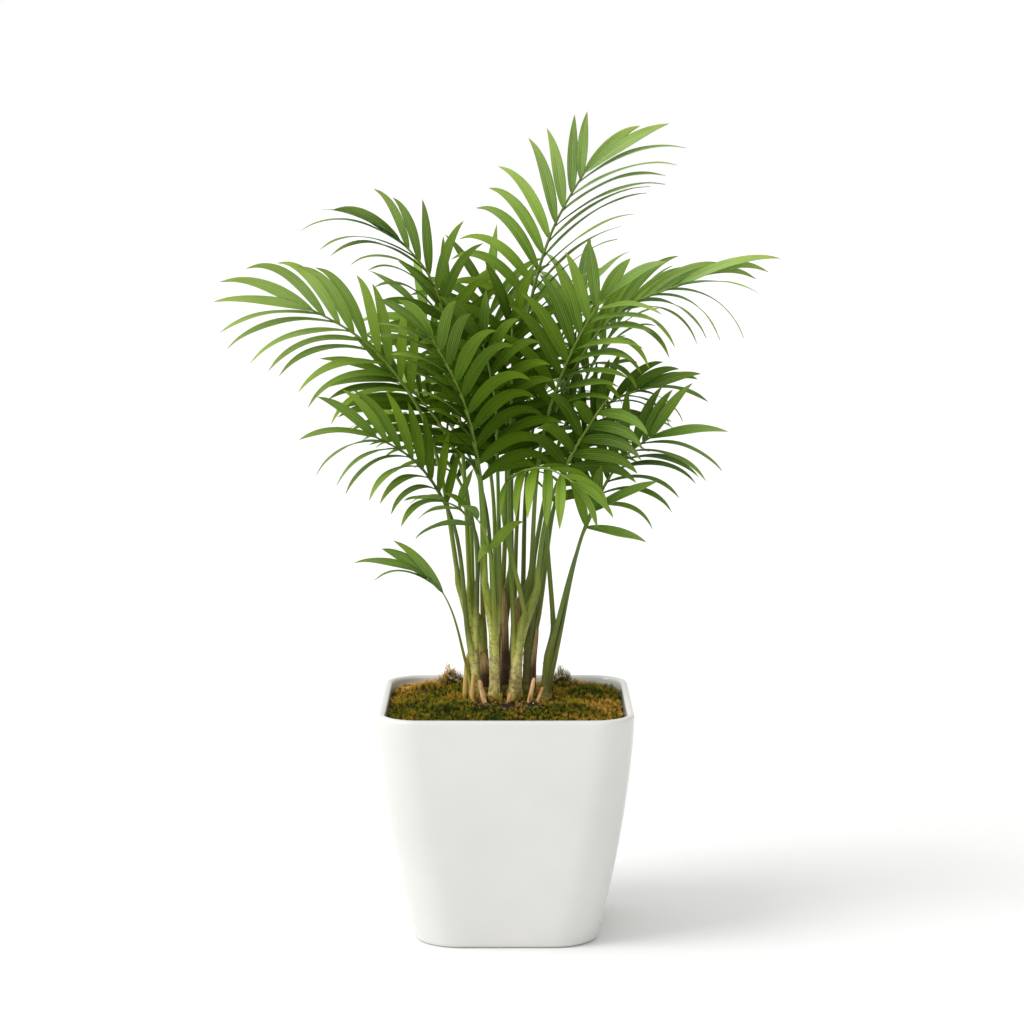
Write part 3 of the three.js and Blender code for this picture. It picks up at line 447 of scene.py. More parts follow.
def leaf(under):
    m = Look("leaf_under" if under else "leaf_upper")
    across = m.value("across")
    mottled = m.math("ADD", m.times(m.noise(34, 3), 0.3), m.times(m.value("tone"), 0.7))
    if under:
        colour = m.ramp(mottled, (0.1, (0.040, 0.080, 0.012)), (0.5, (0.095, 0.165, 0.030)),
                        (0.9, (0.20, 0.30, 0.06)))
    else:
        colour = m.ramp(mottled, (0.1, (0.020, 0.045, 0.0015)), (0.38, (0.062, 0.125, 0.004)),
                        (0.62, (0.125, 0.215, 0.010)), (0.9, (0.25, 0.37, 0.024)))
    # The base is a deeper green and the tip yellower; the midrib and the veins are paler.
    ends = m.ramp(m.value("along"), (0.0, (0.72, 0.80, 0.9)), (0.35, (0.92, 0.95, 1.0)),
                  (0.8, (1.12, 1.06, 1.0)), (1.0, (1.45, 1.2, 1.0)))
    colour = m.tint(colour, ends)
    # Leaflets deep in the crown are painted darker, as shade, and outer ones are painted lighter and
    # bluer, as light and sheen.
    painted_crown_light_and_shade = m.ramp(m.times(m.value("out"), 0.7), (0.20, (0.33, 0.41, 0.15)),
                   (0.42, (0.82, 0.92, 0.50)), (0.62, (1.34, 1.36, 1.7)), (0.85, (1.66, 1.56, 4.0)))
    colour = m.tint(colour, painted_crown_light_and_shade)
    veins = m.math("SINE", m.times(across, 19))
    vein = m.range(veins, -0.2, 1.0, 0.0, 0.42)
    colour = m.blend(vein, colour, m.tint((0.30, 0.42, 0.08), painted_crown_light_and_shade))
    rib = m.range(m.math("ABSOLUTE", across), 0.0, 0.08, 0.36, 0.0)
    colour = m.blend(rib, colour, m.tint((0.34, 0.46, 0.10), painted_crown_light_and_shade))
    height = m.math("ADD", m.times(veins, 0.35), m.noise(520, 2))
    rough = m.range(m.noise(90, 2), 0.3, 0.7, *((0.55, 0.7) if under else (0.42, 0.55)))
    light = m.blend(0.7, colour, m.tint((0.30, 0.46, 0.012), painted_crown_light_and_shade))
    return m.shine(colour, rough, m.bump(height, 0.00022, 0.6), through=0.26, light=light,
                   Specular_IOR_Level=m.range(m.value("out"), 0.4, 1.1, 0.02, 0.38))


def petiole():
    m = Look("petiole_green")
    across, streak = m.value("across"), m.noise(160, 3, stretch=0.06)
    green = m.ramp(m.value("along"), (0.0, (0.150, 0.170, 0.018)), (0.18, (0.095, 0.165, 0.010)),
                   (0.5, (0.085, 0.165, 0.010)), (1.0, (0.16, 0.25, 0.030)))
    green = m.tint(green, m.ramp(m.value("tone"), (0.0, (0.62, 0.58, 0.8)), (0.5, (1.0, 1.0, 1.0)),
                                 (1.0, (1.5, 1.25, 0.9))))
    # Where it clasps its cane it takes on the cane's colour, painted light and shade included: pale above
    # 0, brown below.
    clasp = m.ramp(across, (0.0, (0.10, 0.13, 0.015)), (0.35, (0.36, 0.42, 0.07)),
                   (0.7, (0.62, 0.62, 0.17)), (1.0, (0.80, 0.74, 0.27)))
    green = m.blend(m.times(across, 1.3, clamp=True), green, clasp)
    green = m.blend(m.times(across, -3.0, clamp=True), green, (0.082, 0.064, 0.018))
    scurf = m.range(m.noise(330, 4, 0.75), 0.50, 0.58, 0.0, 0.75)
    rough_skin = m.times(m.math("ABSOLUTE", across), 1.2, clamp=True)
    green = m.blend(m.times(scurf, rough_skin), green, (0.14, 0.11, 0.025))
    colour = m.blend(m.range(streak, 0.4, 0.75, 0.0, 0.4), green, (0.24, 0.30, 0.05))
    fleck = m.range(m.noise(700, 2), 0.64, 0.74, 0.0, 0.4)
    colour = m.blend(fleck, colour, (0.26, 0.28, 0.09))
    return m.shine(colour, m.range(streak, 0.3, 0.7, 0.34, 0.48), m.bump(streak, 0.0003, 0.5),
                   Specular_IOR_Level=0.3)


def cane():
    m = Look("cane_skin")
    height, ring = m.value("along"), m.value("ring")
    # The pale ramp is a corky foot's colour brightened as painted light; canes that stand in shade take
    # the deep green ramp, as painted shade. The cane's tone picks between them.
    pale = m.ramp(height, (0.08, (0.80, 0.62, 0.10)), (0.18, (0.84, 0.70, 0.24)),
                  (0.38, (0.82, 0.74, 0.28)), (0.58, (0.66, 0.66, 0.18)),
                  (0.8, (0.38, 0.46, 0.06)), (1.0, (0.20, 0.30, 0.020)))
    deep_green_and_painted_shade = m.ramp(height, (0.0, (0.20, 0.17, 0.035)), (0.3, (0.085, 0.11, 0.02)),
                  (1.0, (0.085, 0.155, 0.010)))
    body = m.blend(m.value("tone"), deep_green_and_painted_shade, pale)
    streak = m.noise(120, 4, stretch=0.09)
    body = m.blend(m.range(streak, 0.38, 0.62, 0.55, 0.0), body, (0.11, 0.12, 0.018))
    scurf = m.range(m.noise(330, 4, 0.75), 0.50, 0.58, 0.0, 0.9)
    body = m.blend(m.times(scurf, m.range(height, 0.0, 0.9, 0.9, 0.3)), body,
                   (0.13, 0.075, 0.018))
    blot = m.range(m.noise(95, 4, 0.65), 0.54, 0.60, 0.0, 0.85)
    body = m.blend(m.times(blot, m.range(height, 0.0, 0.5, 0.9, 0.0)), body,
                   (0.085, 0.036, 0.010))
    body = m.blend(m.times(ring, 0.6), body, (0.17, 0.11, 0.030))
    body = m.blend(m.value("root"), body, m.ramp(streak, (0.3, (0.38, 0.22, 0.05)),
                                                 (0.7, (0.62, 0.44, 0.13))))
    bumps = m.math("ADD", m.times(streak, 0.7), m.noise(600, 3))
    return m.shine(body, m.range(streak, 0.3, 0.7, 0.42, 0.6), m.bump(bumps, 0.0005, 0.6),
                   Specular_IOR_Level=0.3)


def dry(name, dark, mid, pale, fibre, low=None):
    m = Look(name)
    strands = m.noise(fibre, 4, 0.65, stretch=0.07)
    colour = m.ramp(strands, (0.3, dark), (0.5, mid), (0.72, pale))
    if low:
        colour = m.tint(colour, m.ramp(m.value("along"), (0.20, low), (0.42, 1.0)))
    colour = m.blend(m.times(m.value("along"), 0.2), colour, dark)
    colour = m.blend(m.range(m.noise(260, 3), 0.58, 0.7, 0.0, 0.6), colour, dark)
    height = m.math("ADD", strands, m.times(m.noise(800, 2), 0.4))
    return m.shine(colour, m.range(strands, 0.3, 0.7, 0.6, 0.85), m.bump(height, 0.0006, 0.8))


def moss_look():
    m = Look("moss_mat")
    patch = m.range(m.noise(60, 5, 0.7), 0.36, 0.64, -0.20, 0.20)
    mixed = m.math("ADD", m.math("ADD", patch, m.value("gold")), m.times(m.value("tone"), 0.26))
    green = m.ramp(mixed, (0.0, (0.030, 0.050, 0.003)), (0.22, (0.085, 0.135, 0.005)),
                   (0.45, (0.21, 0.20, 0.010)), (0.68, (0.50, 0.29, 0.028)),
                   (0.92, (0.80, 0.46, 0.10)))
    # Each shoot is painted dark at its foot and light at its tip: painted shade down among the shoots and
    # painted light on top.
    colour = m.tint(green, m.ramp(m.value("along"), (0.0, 0.02), (0.45, 0.30), (1.0, 2.6)))
    fine = m.noise(900, 2)
    return m.shine(colour, m.range(fine, 0.3, 0.7, 0.75, 0.95), m.bump(fine, 0.0004, 0.6),
                   Specular_IOR_Level=0.15)


def ground_look():
    m = Look("soil_crumb")
    tone = m.value("tone")
    fine = m.noise(420, 4, 0.7)
    dark = m.ramp(fine, (0.3, (0.012, 0.007, 0.003)), (0.6, (0.045, 0.025, 0.012)),
                  (0.8, (0.11, 0.065, 0.03)))
    # Crumbs with a high tone are white perlite, those in between dry straw.
    straw = m.blend(m.range(fine, 0.3, 0.7, 0.0, 1.0), (0.22, 0.13, 0.05), (0.50, 0.36, 0.17))
    colour = m.blend(m.math("GREATER_THAN", tone, 0.45), dark, straw)
    colour = m.blend(m.math("GREATER_THAN", tone, 0.85), colour, (0.78, 0.76, 0.70))
    return m.shine(colour, m.range(fine, 0.3, 0.7, 0.8, 0.95), m.bump(fine, 0.0008, 0.8),
                   Specular_IOR_Level=0.25)


LEAF_UPPER, LEAF_UNDER, PETIOLE, CANE = leaf(False), leaf(True), petiole(), cane()
HUSK = dry("husk_papery", (0.14, 0.07, 0.022), (0.50, 0.34, 0.14), (0.82, 0.62, 0.33), 210,
           low=(0.15, 0.11, 0.07))
STUB = dry("stub_dry", (0.20, 0.085, 0.022), (0.66, 0.38, 0.15), (0.90, 0.66, 0.34), 170)
MOSS, SOIL, GLAZE = moss_look(), ground_look(), glaze()


# ---- pot ------------------------------------------------------------------------------------
CORNER_STEPS, FLAT_STEPS, OUTSIDE_ROWS, INSIDE_ROWS = 14, 6, 26, 8


def pot_half(z):
    return POT_TOP - (POT_TOP - POT_FOOT) * max(1 - z / POT_TALL, 0) ** POT_TAPER


def outline(z, inset, at=None):
    """A rounded square at a height, pulled in by inset from the pot's outside there or at `at`."""
    at = z if at is None else at
    half = pot_half(at) - inset
    radius = max(mix(CORNER_FOOT, CORNER_TOP, min(at / POT_TALL, 1)) - inset, 2)
    arcs = []
    for corner, (sx, sy) in enumerate(((1, 1), (-1, 1), (-1, -1), (1, -1))):
        turn = [math.pi / 2 * (corner + k / CORNER_STEPS) for k in range(CORNER_STEPS + 1)]
        arcs.append([(sx * (half - radius) + radius * math.cos(a),
                      sy * (half - radius) + radius * math.sin(a), z) for a in turn])
    ring = []
    for arc, after in zip(arcs, arcs[1:] + arcs[:1]):
        # The flats between the corners get a few points too, so they bend with the side.
        a, b = np.array(arc[-1]), np.array(after[0])
        ring += arc + [tuple(mix(a, b, k / FLAT_STEPS)) for k in range(1, FLAT_STEPS)]
    return np.array(ring)


def make_pot():
    quarter = [math.radians(a) for a in range(0, 91, 15)]
    top = POT_TALL - RIM_ROUND
    rings = [outline(FOOT_ROUND * (1 - math.cos(a)), FOOT_ROUND * (1 - math.sin(a))) for a in quarter]
    rings += [outline(z, 0) for z in np.linspace(7, top - 4, OUTSIDE_ROWS)]
    rings += [outline(top + RIM_ROUND * math.sin(a), RIM_ROUND * (1 - math.cos(a))) for a in quarter]
    rings += [outline(top + RIM_ROUND * math.sin(a), POT_WALL - RIM_ROUND * (1 - math.cos(a)))
              for a in reversed(quarter)]
    rings += [outline(z, POT_WALL) for z in np.linspace(150, 20, INSIDE_ROWS)]
    rings += [outline(POT_FLOOR + 4, POT_WALL + 1), outline(POT_FLOOR, POT_WALL + 6)]
    pot = Shape()
    pot.strip(rings)
    pot.make("pot_glazed", [GLAZE], "pot")


# ---- canes ----------------------------------------------------------------------------------
def cane_at(name, share):
    foot, top, radii = CANES[name]
    bow = max(share, 0) ** 2
    centre = np.array([mix(foot[0], top[0], bow), mix(foot[1], top[1], bow),
                       mix(FOOT_LEVEL, top[2], share)])
    return centre, mix(radii[1], radii[0], (1 - max(share, 0)) ** 1.6)


# 1 is pale and corky at the foot and brightened as painted light, 0 deep green and darkened as painted
# shade.
CANE_TONE_AND_LIGHT = dict(cane_1=1.0, cane_2=0.85, cane_3=0.74, cane_4=0.06, cane_5=0.08, cane_6=0.55,
                  cane_7=0.1, cane_8=0.15)
# Shares of a cane's height: the root end, at the moss, its bulb, and where it starts to lean.
CANE_ROOT, AT_MOSS, CANE_BULB, CANE_LEAN = -0.16, 0.02, 0.13, 0.76
CANE_LOW_STEPS, CANE_TOP_STEPS, CANE_SIDES, ROOT_STEPS, ROOT_SIDES = 72, 36, 28, 30, 14
# A frond that leaves its cane above LEADER_FROM is the youngest, and the cane slims to LEADER_RADIUS.
LEADER_FROM, LEADER_RADIUS, BULB_SWELL = 0.97, 1.5, 0.20
# Leaf scars: the height of the ridge, the dip above it, and the shares of the cane between two.
SCAR_RIDGE, SCAR_DIP, SCAR_FIRST, SCAR_LAST, SCAR_GAP, SCAR_GAP_GROWTH = 0.28, 0.16, 0.05, 0.8, 0.09, 1.16


def make_canes():
    for number, name in enumerate(CANES):
        leader = spine_of(next(f for f in FRONDS if f["cane"] == name and f["at"] > LEADER_FROM))
        step = leader["length"] / SPINE_STEPS
        # The cane leans over at its top and slims into the petiole of its youngest frond.
        low = np.linspace(CANE_ROOT, CANE_LEAN, CANE_LOW_STEPS + 1)
        key = [cane_at(name, CANE_LEAN - back)[0] for back in (0.14, 0.07, 0)]
        key += [resample(leader["points"], np.array([d / step]))[0] for d in (6, 18, 32)]
        top = np.linspace(0, 1, CANE_TOP_STEPS + 1)[1:]
        middles = np.vstack([[cane_at(name, share)[0] for share in low], resample(key, 2 + 3 * top)])
        shares = np.concatenate([low, mix(CANE_LEAN, 1, top)])
        slim = mix(cane_at(name, CANE_LEAN)[1], LEADER_RADIUS, smooth(top) ** 0.9)
        radii = np.concatenate([[cane_at(name, share)[1] for share in low], slim])
        # Leaf scars: low ridges that get further apart with height.
        ring = np.zeros(len(shares))
        at, gap = SCAR_FIRST + 0.03 * scatter(number + 40), SCAR_GAP
        while at < SCAR_LAST:
            ring += bell(shares, at, 0.0075)
            radii += SCAR_RIDGE * bell(shares, at, 0.011) - SCAR_DIP * bell(shares, at + 0.022, 0.012)
            at += gap * (1 + 0.35 * scatter(number * 10 + int(at * 100)))
            gap *= SCAR_GAP_GROWTH
        # The foot swells into a bulb just above the moss, and the root end is slimmer.
        radii *= 1 + BULB_SWELL * bell(shares, CANE_BULB, 0.055)
        radii *= 1 - 0.35 * np.clip((-0.05 - shares) / 0.11, 0, 1)
        rings = tube(middles, radii, CANE_SIDES)
        a = np.linspace(0, 2 * math.pi, CANE_SIDES, endpoint=False)
        lobes = 0.16 * np.sin(3 * a + number) + 0.10 * np.sin(5 * a + 2 * number)
        fade = np.clip(1.1 - shares, 0, 1)[:, None]
        rings[:, :, 0] += np.cos(a) * lobes * fade
        rings[:, :, 1] += np.sin(a) * lobes * fade
        body = Shape()
        body.strip(rings, along=np.clip(shares, 0, 1), ring=np.clip(ring, 0, 1), root=0.0,
                   tone=CANE_TONE_AND_LIGHT[name])
        for _, side, reach, start in (p for p in PROPS if p[0] == name):
            add_prop(body, *cane_at(name, start), side, reach)
        body.make(name + "_stem", [CANE], name)


def add_prop(body, centre, radius, side, reach):
    """A prop root that leaves its cane, bends over and goes down into the moss."""
    out, drop = heading(side), UP * (PROP_FOOT - centre[2])
    bends = ((radius * 0.3, -0.1), (radius + 0.8, 0.15), (radius + reach * 0.5, 0.4),
             (radius + reach * 0.66, 0.7), (radius + reach * 0.7, 1))
    at = np.linspace(0, 4, ROOT_STEPS)
    path = resample([centre + out * far + drop * down for far, down in bends], at)
    girth = resample([[1.2], [1.6], [1.75], [1.6], [1.0]], at)[:, 0]
    girth *= 1 + 0.07 * np.sin(np.linspace(0, 15, ROOT_STEPS) + side)
    body.strip(tube(path, girth, ROOT_SIDES), along=0.02, ring=0.0, tone=0.9, root=1.0)


# ---- fronds ---------------------------------------------------------------------------------
SPINE_STEPS, FINE_STEPS, LEAFLET_STEPS = 40, 60, 8
BLADE_ROWS, BLADE_COLUMNS = 22, 12
CLASP_LENGTH, CLASP_STEPS, STALK_SIDES = 36, 14, 14
# The finished stalk is a little slimmer than the CAD's.
STALK_RADIUS, STALK_TIP_RADIUS = PETIOLE_RADIUS * 0.93, 0.42
# How much chance changes a leaflet's spread, length, width, lift and droop.
SPREAD_CHANCE, LENGTH_CHANCE, WIDTH_CHANCE, LIFT_CHANCE, DROOP_CHANCE = 3, 0.05, 0.06, 4, 6


def spine_of(f):
    """The smooth line of a petiole and rachis in equal steps, with its upper side."""
    centre, radius = cane_at(f["cane"], f["at"])
    start = centre + heading(f["foot"]) * (radius + PETIOLE_RADIUS + PETIOLE_STANDOFF)
    knots = [start] + [np.array(p, float) for p in f["via"]]
    span = [np.linalg.norm(knots[i + 1] - knots[i]) for i in range(3)]
    way = [(knots[i + 1] - knots[i]) / span[i] for i in range(3)]
    bend = [(way[i] * span[i - 1] + way[i - 1] * span[i]) / (span[i - 1] + span[i]) for i in (1, 2)]
    slopes = [1.2 * way[0] - 0.2 * bend[0], *bend, 1.5 * way[2] - 0.5 * bend[1]]
    fine = []
    for i in range(3):
        t = (np.arange(FINE_STEPS) / FINE_STEPS)[:, None]
        t2, t3 = t * t, t * t * t
        fine.append(knots[i] * (2 * t3 - 3 * t2 + 1) + slopes[i] * span[i] * (t3 - 2 * t2 + t)
                    + knots[i + 1] * (3 * t2 - 2 * t3) + slopes[i + 1] * span[i] * (t3 - t2))
    fine = np.vstack(fine + [knots[3][None]])
    run = np.concatenate([[0], np.cumsum(np.linalg.norm(np.diff(fine, axis=0), axis=1))])
    at = np.linspace(0, run[-1], SPINE_STEPS + 1)
    points = np.stack([np.interp(at, run, fine[:, k]) for k in range(3)], -1)
    along = unit(np.gradient(points, axis=0))
    rise = math.radians(f["face"][1])
    look = heading(f["face"][0]) * math.cos(rise) + UP * math.sin(rise)
    upper = unit(look[None] - (along @ look)[:, None] * along)
    return dict(points=points, along=along, upper=upper, length=run[-1],
                blade=run[FINE_STEPS] / run[-1])


def rachis_radius(share):
    return RACHIS_TIP_RADIUS + (PETIOLE_RADIUS - RACHIS_TIP_RADIUS) * (1 - share) ** 0.8


def leaflet_shape(u):
    return (1 - u) ** 0.75 * (u + 0.015) ** 0.6 / 0.4035


def midrib_of(base, t, side, upper, spread, length, lift, droop, louvre):
    """A leaflet's line from its foot in equal steps, bending down, with its width and its face."""
    d = unit(math.cos(spread) * t
             + math.sin(spread) * (side * math.cos(lift) + upper * math.sin(lift)))
    n = upper * math.cos(lift) - side * math.sin(lift)
    n = unit(n - (n @ d) * d)
    n = n * math.cos(louvre) + np.cross(n, d) * math.sin(louvre)
    points, across, normals = [base], [], []
    for i in range(LEAFLET_STEPS + 1):
        across.append(unit(np.cross(n, d)))
        normals.append(n)
        if i == LEAFLET_STEPS:
            break
        points.append(points[-1] + d * length / LEAFLET_STEPS)
        turn = droop * (0.2 + 1.6 * (i + 1) / LEAFLET_STEPS) / LEAFLET_STEPS
        fall = d * d[2] - UP
        level = np.linalg.norm(fall)
        if level > 1e-6:
            fall = fall / level
            d = unit(d * math.cos(turn * level) + fall * math.sin(turn * level))
            n = unit(n - (n @ d) * d)
    return np.array(points), np.array(across), np.array(normals)


class Obstacles:
    """Boxes that stand in for rods and leaflets while a free place is looked for. A box is a
    centre, three axes and half its size along each, and it belongs to one frond or cane."""

    def __init__(self):
        self.centre, self.axes = np.zeros((0, 3)), np.zeros((0, 3, 3))
        self.half, self.owner = np.zeros((0, 3)), np.zeros(0, int)

    def add(self, boxes, owner):
        centre, axes, half = boxes
        self.centre = np.vstack([self.centre, centre])
        self.axes = np.concatenate([self.axes, axes])
        self.half = np.vstack([self.half, half])
        self.owner = np.concatenate([self.owner, np.full(len(centre), owner)])

    def free(self, boxes, owner):
        centre, axes, half = boxes
        other = self.owner != owner
        gap = self.centre[other][None] - centre[:, None]
        reach = np.linalg.norm(half, axis=1)[:, None] + np.linalg.norm(self.half[other], axis=1)
        i, j = np.nonzero(np.linalg.norm(gap, axis=2) < reach)
        if not len(i):
            return True
        gap = gap[i, j]
        a, b = axes[i], self.axes[other][j]
        ha, hb = half[i], self.half[other][j]
        apart = np.zeros(len(i), bool)
        for axis in (a[:, 0], a[:, 1], a[:, 2], b[:, 0], b[:, 1], b[:, 2], unit(gap)):
            sa = (np.abs(np.einsum("ijk,ik->ij", a, axis)) * ha).sum(1)
            sb = (np.abs(np.einsum("ijk,ik->ij", b, axis)) * hb).sum(1)
            apart |= np.abs((gap * axis).sum(1)) > sa + sb
        return bool(apart.all())


# Room kept round a rod, and round a leaflet's width, thickness and steps.
ROD_ROOM, LEAF_ROOM, LEAF_THICK_ROOM, ROD_OVERRUN, LEAF_OVERRUN = 0.25, 0.35, 1.1, 0.3, 0.5


def boxes_along(points, across, wide, thick, overrun):
    step = np.diff(points, axis=0)
    length = np.linalg.norm(step, axis=1)
    t = step / length[:, None]
    w = unit(across - (across * t).sum(1)[:, None] * t)
    half = np.stack([length / 2 + overrun, wide, thick], 1)
    return (points[1:] + points[:-1]) / 2, np.stack([t, w, np.cross(t, w)], 1), half


def rod_boxes(points, radii):
    t = unit(np.diff(points, axis=0))
    guide = np.where(np.abs(t[:, 2:]) < 0.9, UP, np.array([1.0, 0, 0]))
    girth = np.maximum(radii[1:], radii[:-1]) + ROD_ROOM
    return boxes_along(points, np.cross(t, guide), girth, girth, ROD_OVERRUN)


def leaflet_boxes(midrib, wide):
    points, across, _ = midrib
    i = np.arange(LEAFLET_STEPS)
    shape = np.max([leaflet_shape((i + k) / LEAFLET_STEPS) for k in (0, 0.5, 1)], axis=0)
    return boxes_along(points, across[1:] + across[:-1], shape * wide / 2 + LEAF_ROOM,
                       np.full(LEAFLET_STEPS, LEAF_THICK_ROOM), LEAF_OVERRUN)


def leaflets_of(f, index, spine, taken):
    """The leaflets in pairs along the blade, each in the first place that is free."""
    made = []
    for k in range(f["pairs"]):
        q = k / (f["pairs"] - 1)
        last = k == f["pairs"] - 1
        for hand in (1, -1):
            own = {**f, **f.get("left" if hand > 0 else "right", {})}
            full, spread, lift, droop = (
                mix(*own[key], q) if isinstance(own[key], tuple) else own[key]
                for key in ("leaf", "spread", "lift", "droop"))
            seed = index * 1000 + k * 10 + hand + 1
            share = 0.985 if last else mix(spine["blade"], 1, q + 0.014 * hand)
            x = share * SPINE_STEPS
            i = min(int(x), SPINE_STEPS - 1)
            base = mix(spine["points"][i], spine["points"][i + 1], x - i)
            t = unit(mix(spine["along"][i], spine["along"][i + 1], x - i))
            upper = mix(spine["upper"][i], spine["upper"][i + 1], x - i)
            upper = unit(upper - (upper @ t) * t)
            side = np.cross(upper, t) * hand
            spread = own["last"][0] if last else spread + SPREAD_CHANCE * scatter(seed + 1)
            size = own["last"][1] if last else 0.74 + 0.26 * math.sin(math.pi * (0.18 + 0.62 * q))
            length = full * size * (1 + LENGTH_CHANCE * scatter(seed + 2))
            wide = own["wide"] * (1 if last else 0.85 + 0.15 * math.sin(math.pi * q))
            wide *= 1 + WIDTH_CHANCE * scatter(seed + 3)
            lift += LIFT_CHANCE * scatter(seed + 4)
            droop = math.radians(droop * (0.6 if last else 1) + DROOP_CHANCE * scatter(seed + 5))
            louvre = math.radians(own["last"][2] if last else own["twist"]) * hand
            for more_lift, more_spread, scale in GIVE:
                midrib = midrib_of(base, t, side, upper, math.radians(spread + more_spread),
                                   length * scale, math.radians(lift + more_lift), droop, louvre)
                boxes = leaflet_boxes(midrib, wide)
                if taken.free(boxes, index):
                    taken.add(boxes, index)
                    made.append((midrib, wide, seed))
                    break
    return made


def add_leaflet(shape, midrib, wide, seed, frond_tone):
    """A pleated blade, keeled under its midrib, with a thick little joint at its foot."""
    u = np.linspace(0, 1, BLADE_ROWS + 1) ** 0.92
    points, across, normals = (resample(rows, u * LEAFLET_STEPS) for rows in midrib)
    across, normals = unit(across)[:, None], unit(normals)[:, None]
    # Slender at the foot, widest before the middle, and drawn out into a long fine tip.
    half = np.maximum((u + 0.012) ** 0.62 * (1 - u) ** 0.86 / 0.4000 * wide / 2, 0.10)[:, None]
    v = np.linspace(-1, 1, BLADE_COLUMNS + 1)[None]
    fold = np.radians(mix(20, 7, smooth(u * 1.3)) + 3 * scatter(seed + 11))[:, None]
    u = u[:, None]
    lift = half * np.abs(v) * np.sin(fold)
    pleat = 0.10 * np.cos(v * math.pi * 5) * smooth((half - 0.8) / 2.0)
    waver = 0.35 * np.sin(u * 9 + seed) * u * v**2
    # The margins sway a little out of step with each other, as thin blades do.
    sway = 0.45 * np.sin(u * 7 + seed * 1.7 + v * 1.3) * np.abs(v) ** 1.5 * half / 4
    middle = (points[:, None] + across * (half * v * np.cos(fold))[..., None]
              + normals * (lift + pleat + waver + sway)[..., None])
    thick = (0.13 + 0.16 * (1 - np.abs(v)) ** 3) * (0.45 + 0.55 * (1 - u))
    thick = (thick + 0.75 * np.exp(-u / 0.035) * (1 - 0.6 * np.abs(v)))[..., None]
    top, bottom = middle + normals * thick * 0.4, middle - normals * thick * 0.6
    both = np.concatenate([top.reshape(-1, 3), bottom.reshape(-1, 3)])
    # The `out` value, how far a point lies from the crown's middle, sets its painted light and shade.
    shape.shell(top, bottom, 1, along=np.repeat(u, BLADE_COLUMNS + 1), across=np.tile(v, BLADE_ROWS + 1),
                tone=np.clip(0.5 + frond_tone + 0.22 * scatter(seed + 12), 0, 1),
                out=np.linalg.norm((both - np.array(CROWN)) / np.array(CROWN_REACH), axis=1))


def clasp_of(f):
    """The sheath below a petiole's foot, which clasps the cane: its shares, points and radii."""
    centre, radius = cane_at(f["cane"], f["at"])
    reach = radius + PETIOLE_RADIUS + PETIOLE_STANDOFF
    down = min(CLASP_LENGTH, centre[2] - FOOT_LEVEL + 2)
    span = CANES[f["cane"]][1][2] - FOOT_LEVEL
    shares = np.linspace(1, 0, CLASP_STEPS + 1)[:-1]
    points, radii = [], []
    for share in shares:
        middle, radius = cane_at(f["cane"], f["at"] - share * down / span)
        far = mix(reach, radius * 0.40, smooth(share ** 0.7))
        points.append(middle + heading(f["foot"]) * far)
        radii.append(STALK_RADIUS + 0.5 * math.sin(math.pi * share) + 0.2 * share)
    return shares, points, radii


def make_frond(f, index, spine, leaflets):
    shape = Shape()
    tone = TONES.get(f["name"], 0.14 * scatter(index * 7 + 3))
    for leaflet in leaflets:
        add_leaflet(shape, *leaflet, tone)
    # The petiole and rachis, which thins towards the end of the blade, with a knee at each leaflet.
    at = np.linspace(0, SPINE_STEPS, 2 * SPINE_STEPS + 1)
    share = at / SPINE_STEPS
    points = resample(spine["points"], at)
    knee = np.zeros(len(share))
    for midrib, _, _ in leaflets:
        foot = np.linalg.norm(points - midrib[0][0], axis=1).argmin()
        knee += 0.18 * bell(np.arange(len(share)), foot, 1.1)
    radii = mix(STALK_TIP_RADIUS, STALK_RADIUS, (1 - share) ** 0.85) + np.minimum(knee, 0.25)
    low, low_points, low_radii = clasp_of(f)
    # A clasp follows its cane's painted light and shade: it is as pale as a pale cane, and brown towards
    # the foot of a deep green one.
    paleness_and_light = CANE_TONE_AND_LIGHT[f["cane"]]
    clasp = paleness_and_light * low**0.6 if paleness_and_light > 0.3 else -0.33 * low**1.5
    rings = tube(np.vstack([low_points, points]), np.append(low_radii, radii) * f["stalk"], STALK_SIDES)
    shape.strip(rings, 2, along=np.append(0 * low, share), across=np.append(clasp, 0 * share),
                tone=np.clip(0.5 + 0.5 * scatter(index * 5 + 9), 0, 1))
    shape.make(f["name"] + "_leafage", [LEAF_UPPER, LEAF_UNDER, PETIOLE], f["name"])


def make_fronds():
    taken = Obstacles()
    for number, name in enumerate(CANES):
        parts = [cane_at(name, i / 8) for i in range(9)]
        taken.add(rod_boxes(np.array([c for c, _ in parts]), np.array([r for _, r in parts])),
                  1000 + number)
    spines = [spine_of(f) for f in FRONDS]
    radii = rachis_radius(np.linspace(0, 1, SPINE_STEPS + 1))
    for index, spine in enumerate(spines):
        taken.add(rod_boxes(spine["points"], radii), index)
    for index, (f, spine) in enumerate(zip(FRONDS, spines)):
        make_frond(f, index, spine, leaflets_of(f, index, spine, taken))


# ---- dry stubs and papery sheaths -----------------------------------------------------------
STUB_SIDES, SHEATH_ROWS, SHEATH_COLUMNS, SHEATH_THICK = 16, 36, 30, 0.45


def make_stub(number, name, foot, end, radii):
    foot, end = np.array(foot, float), np.array(end, float)
    s = np.linspace(0, 1, 26)
    bow = unit(np.cross(end - foot, UP)) * 0.5 * scatter(number + 60)
    path = foot + (end - foot) * s[:, None] + bow * np.sin(math.pi * s)[:, None]
    girth = mix(*radii, s ** 0.8) * (1 + 0.04 * np.sin(s * 23 + number))
    girth[-2:] *= (0.93, 0.6)
    rings = tube(path, girth, STUB_SIDES)
    # The blunt end is torn: its rim rises and falls.
    rings[-3:-1, :, 2] += [0.35 * scatter(number * 50 + k + 300) for k in range(STUB_SIDES)]
    shape = Shape()
    shape.strip(rings, along=s)
    shape.make(name + "_husk", [STUB], name)


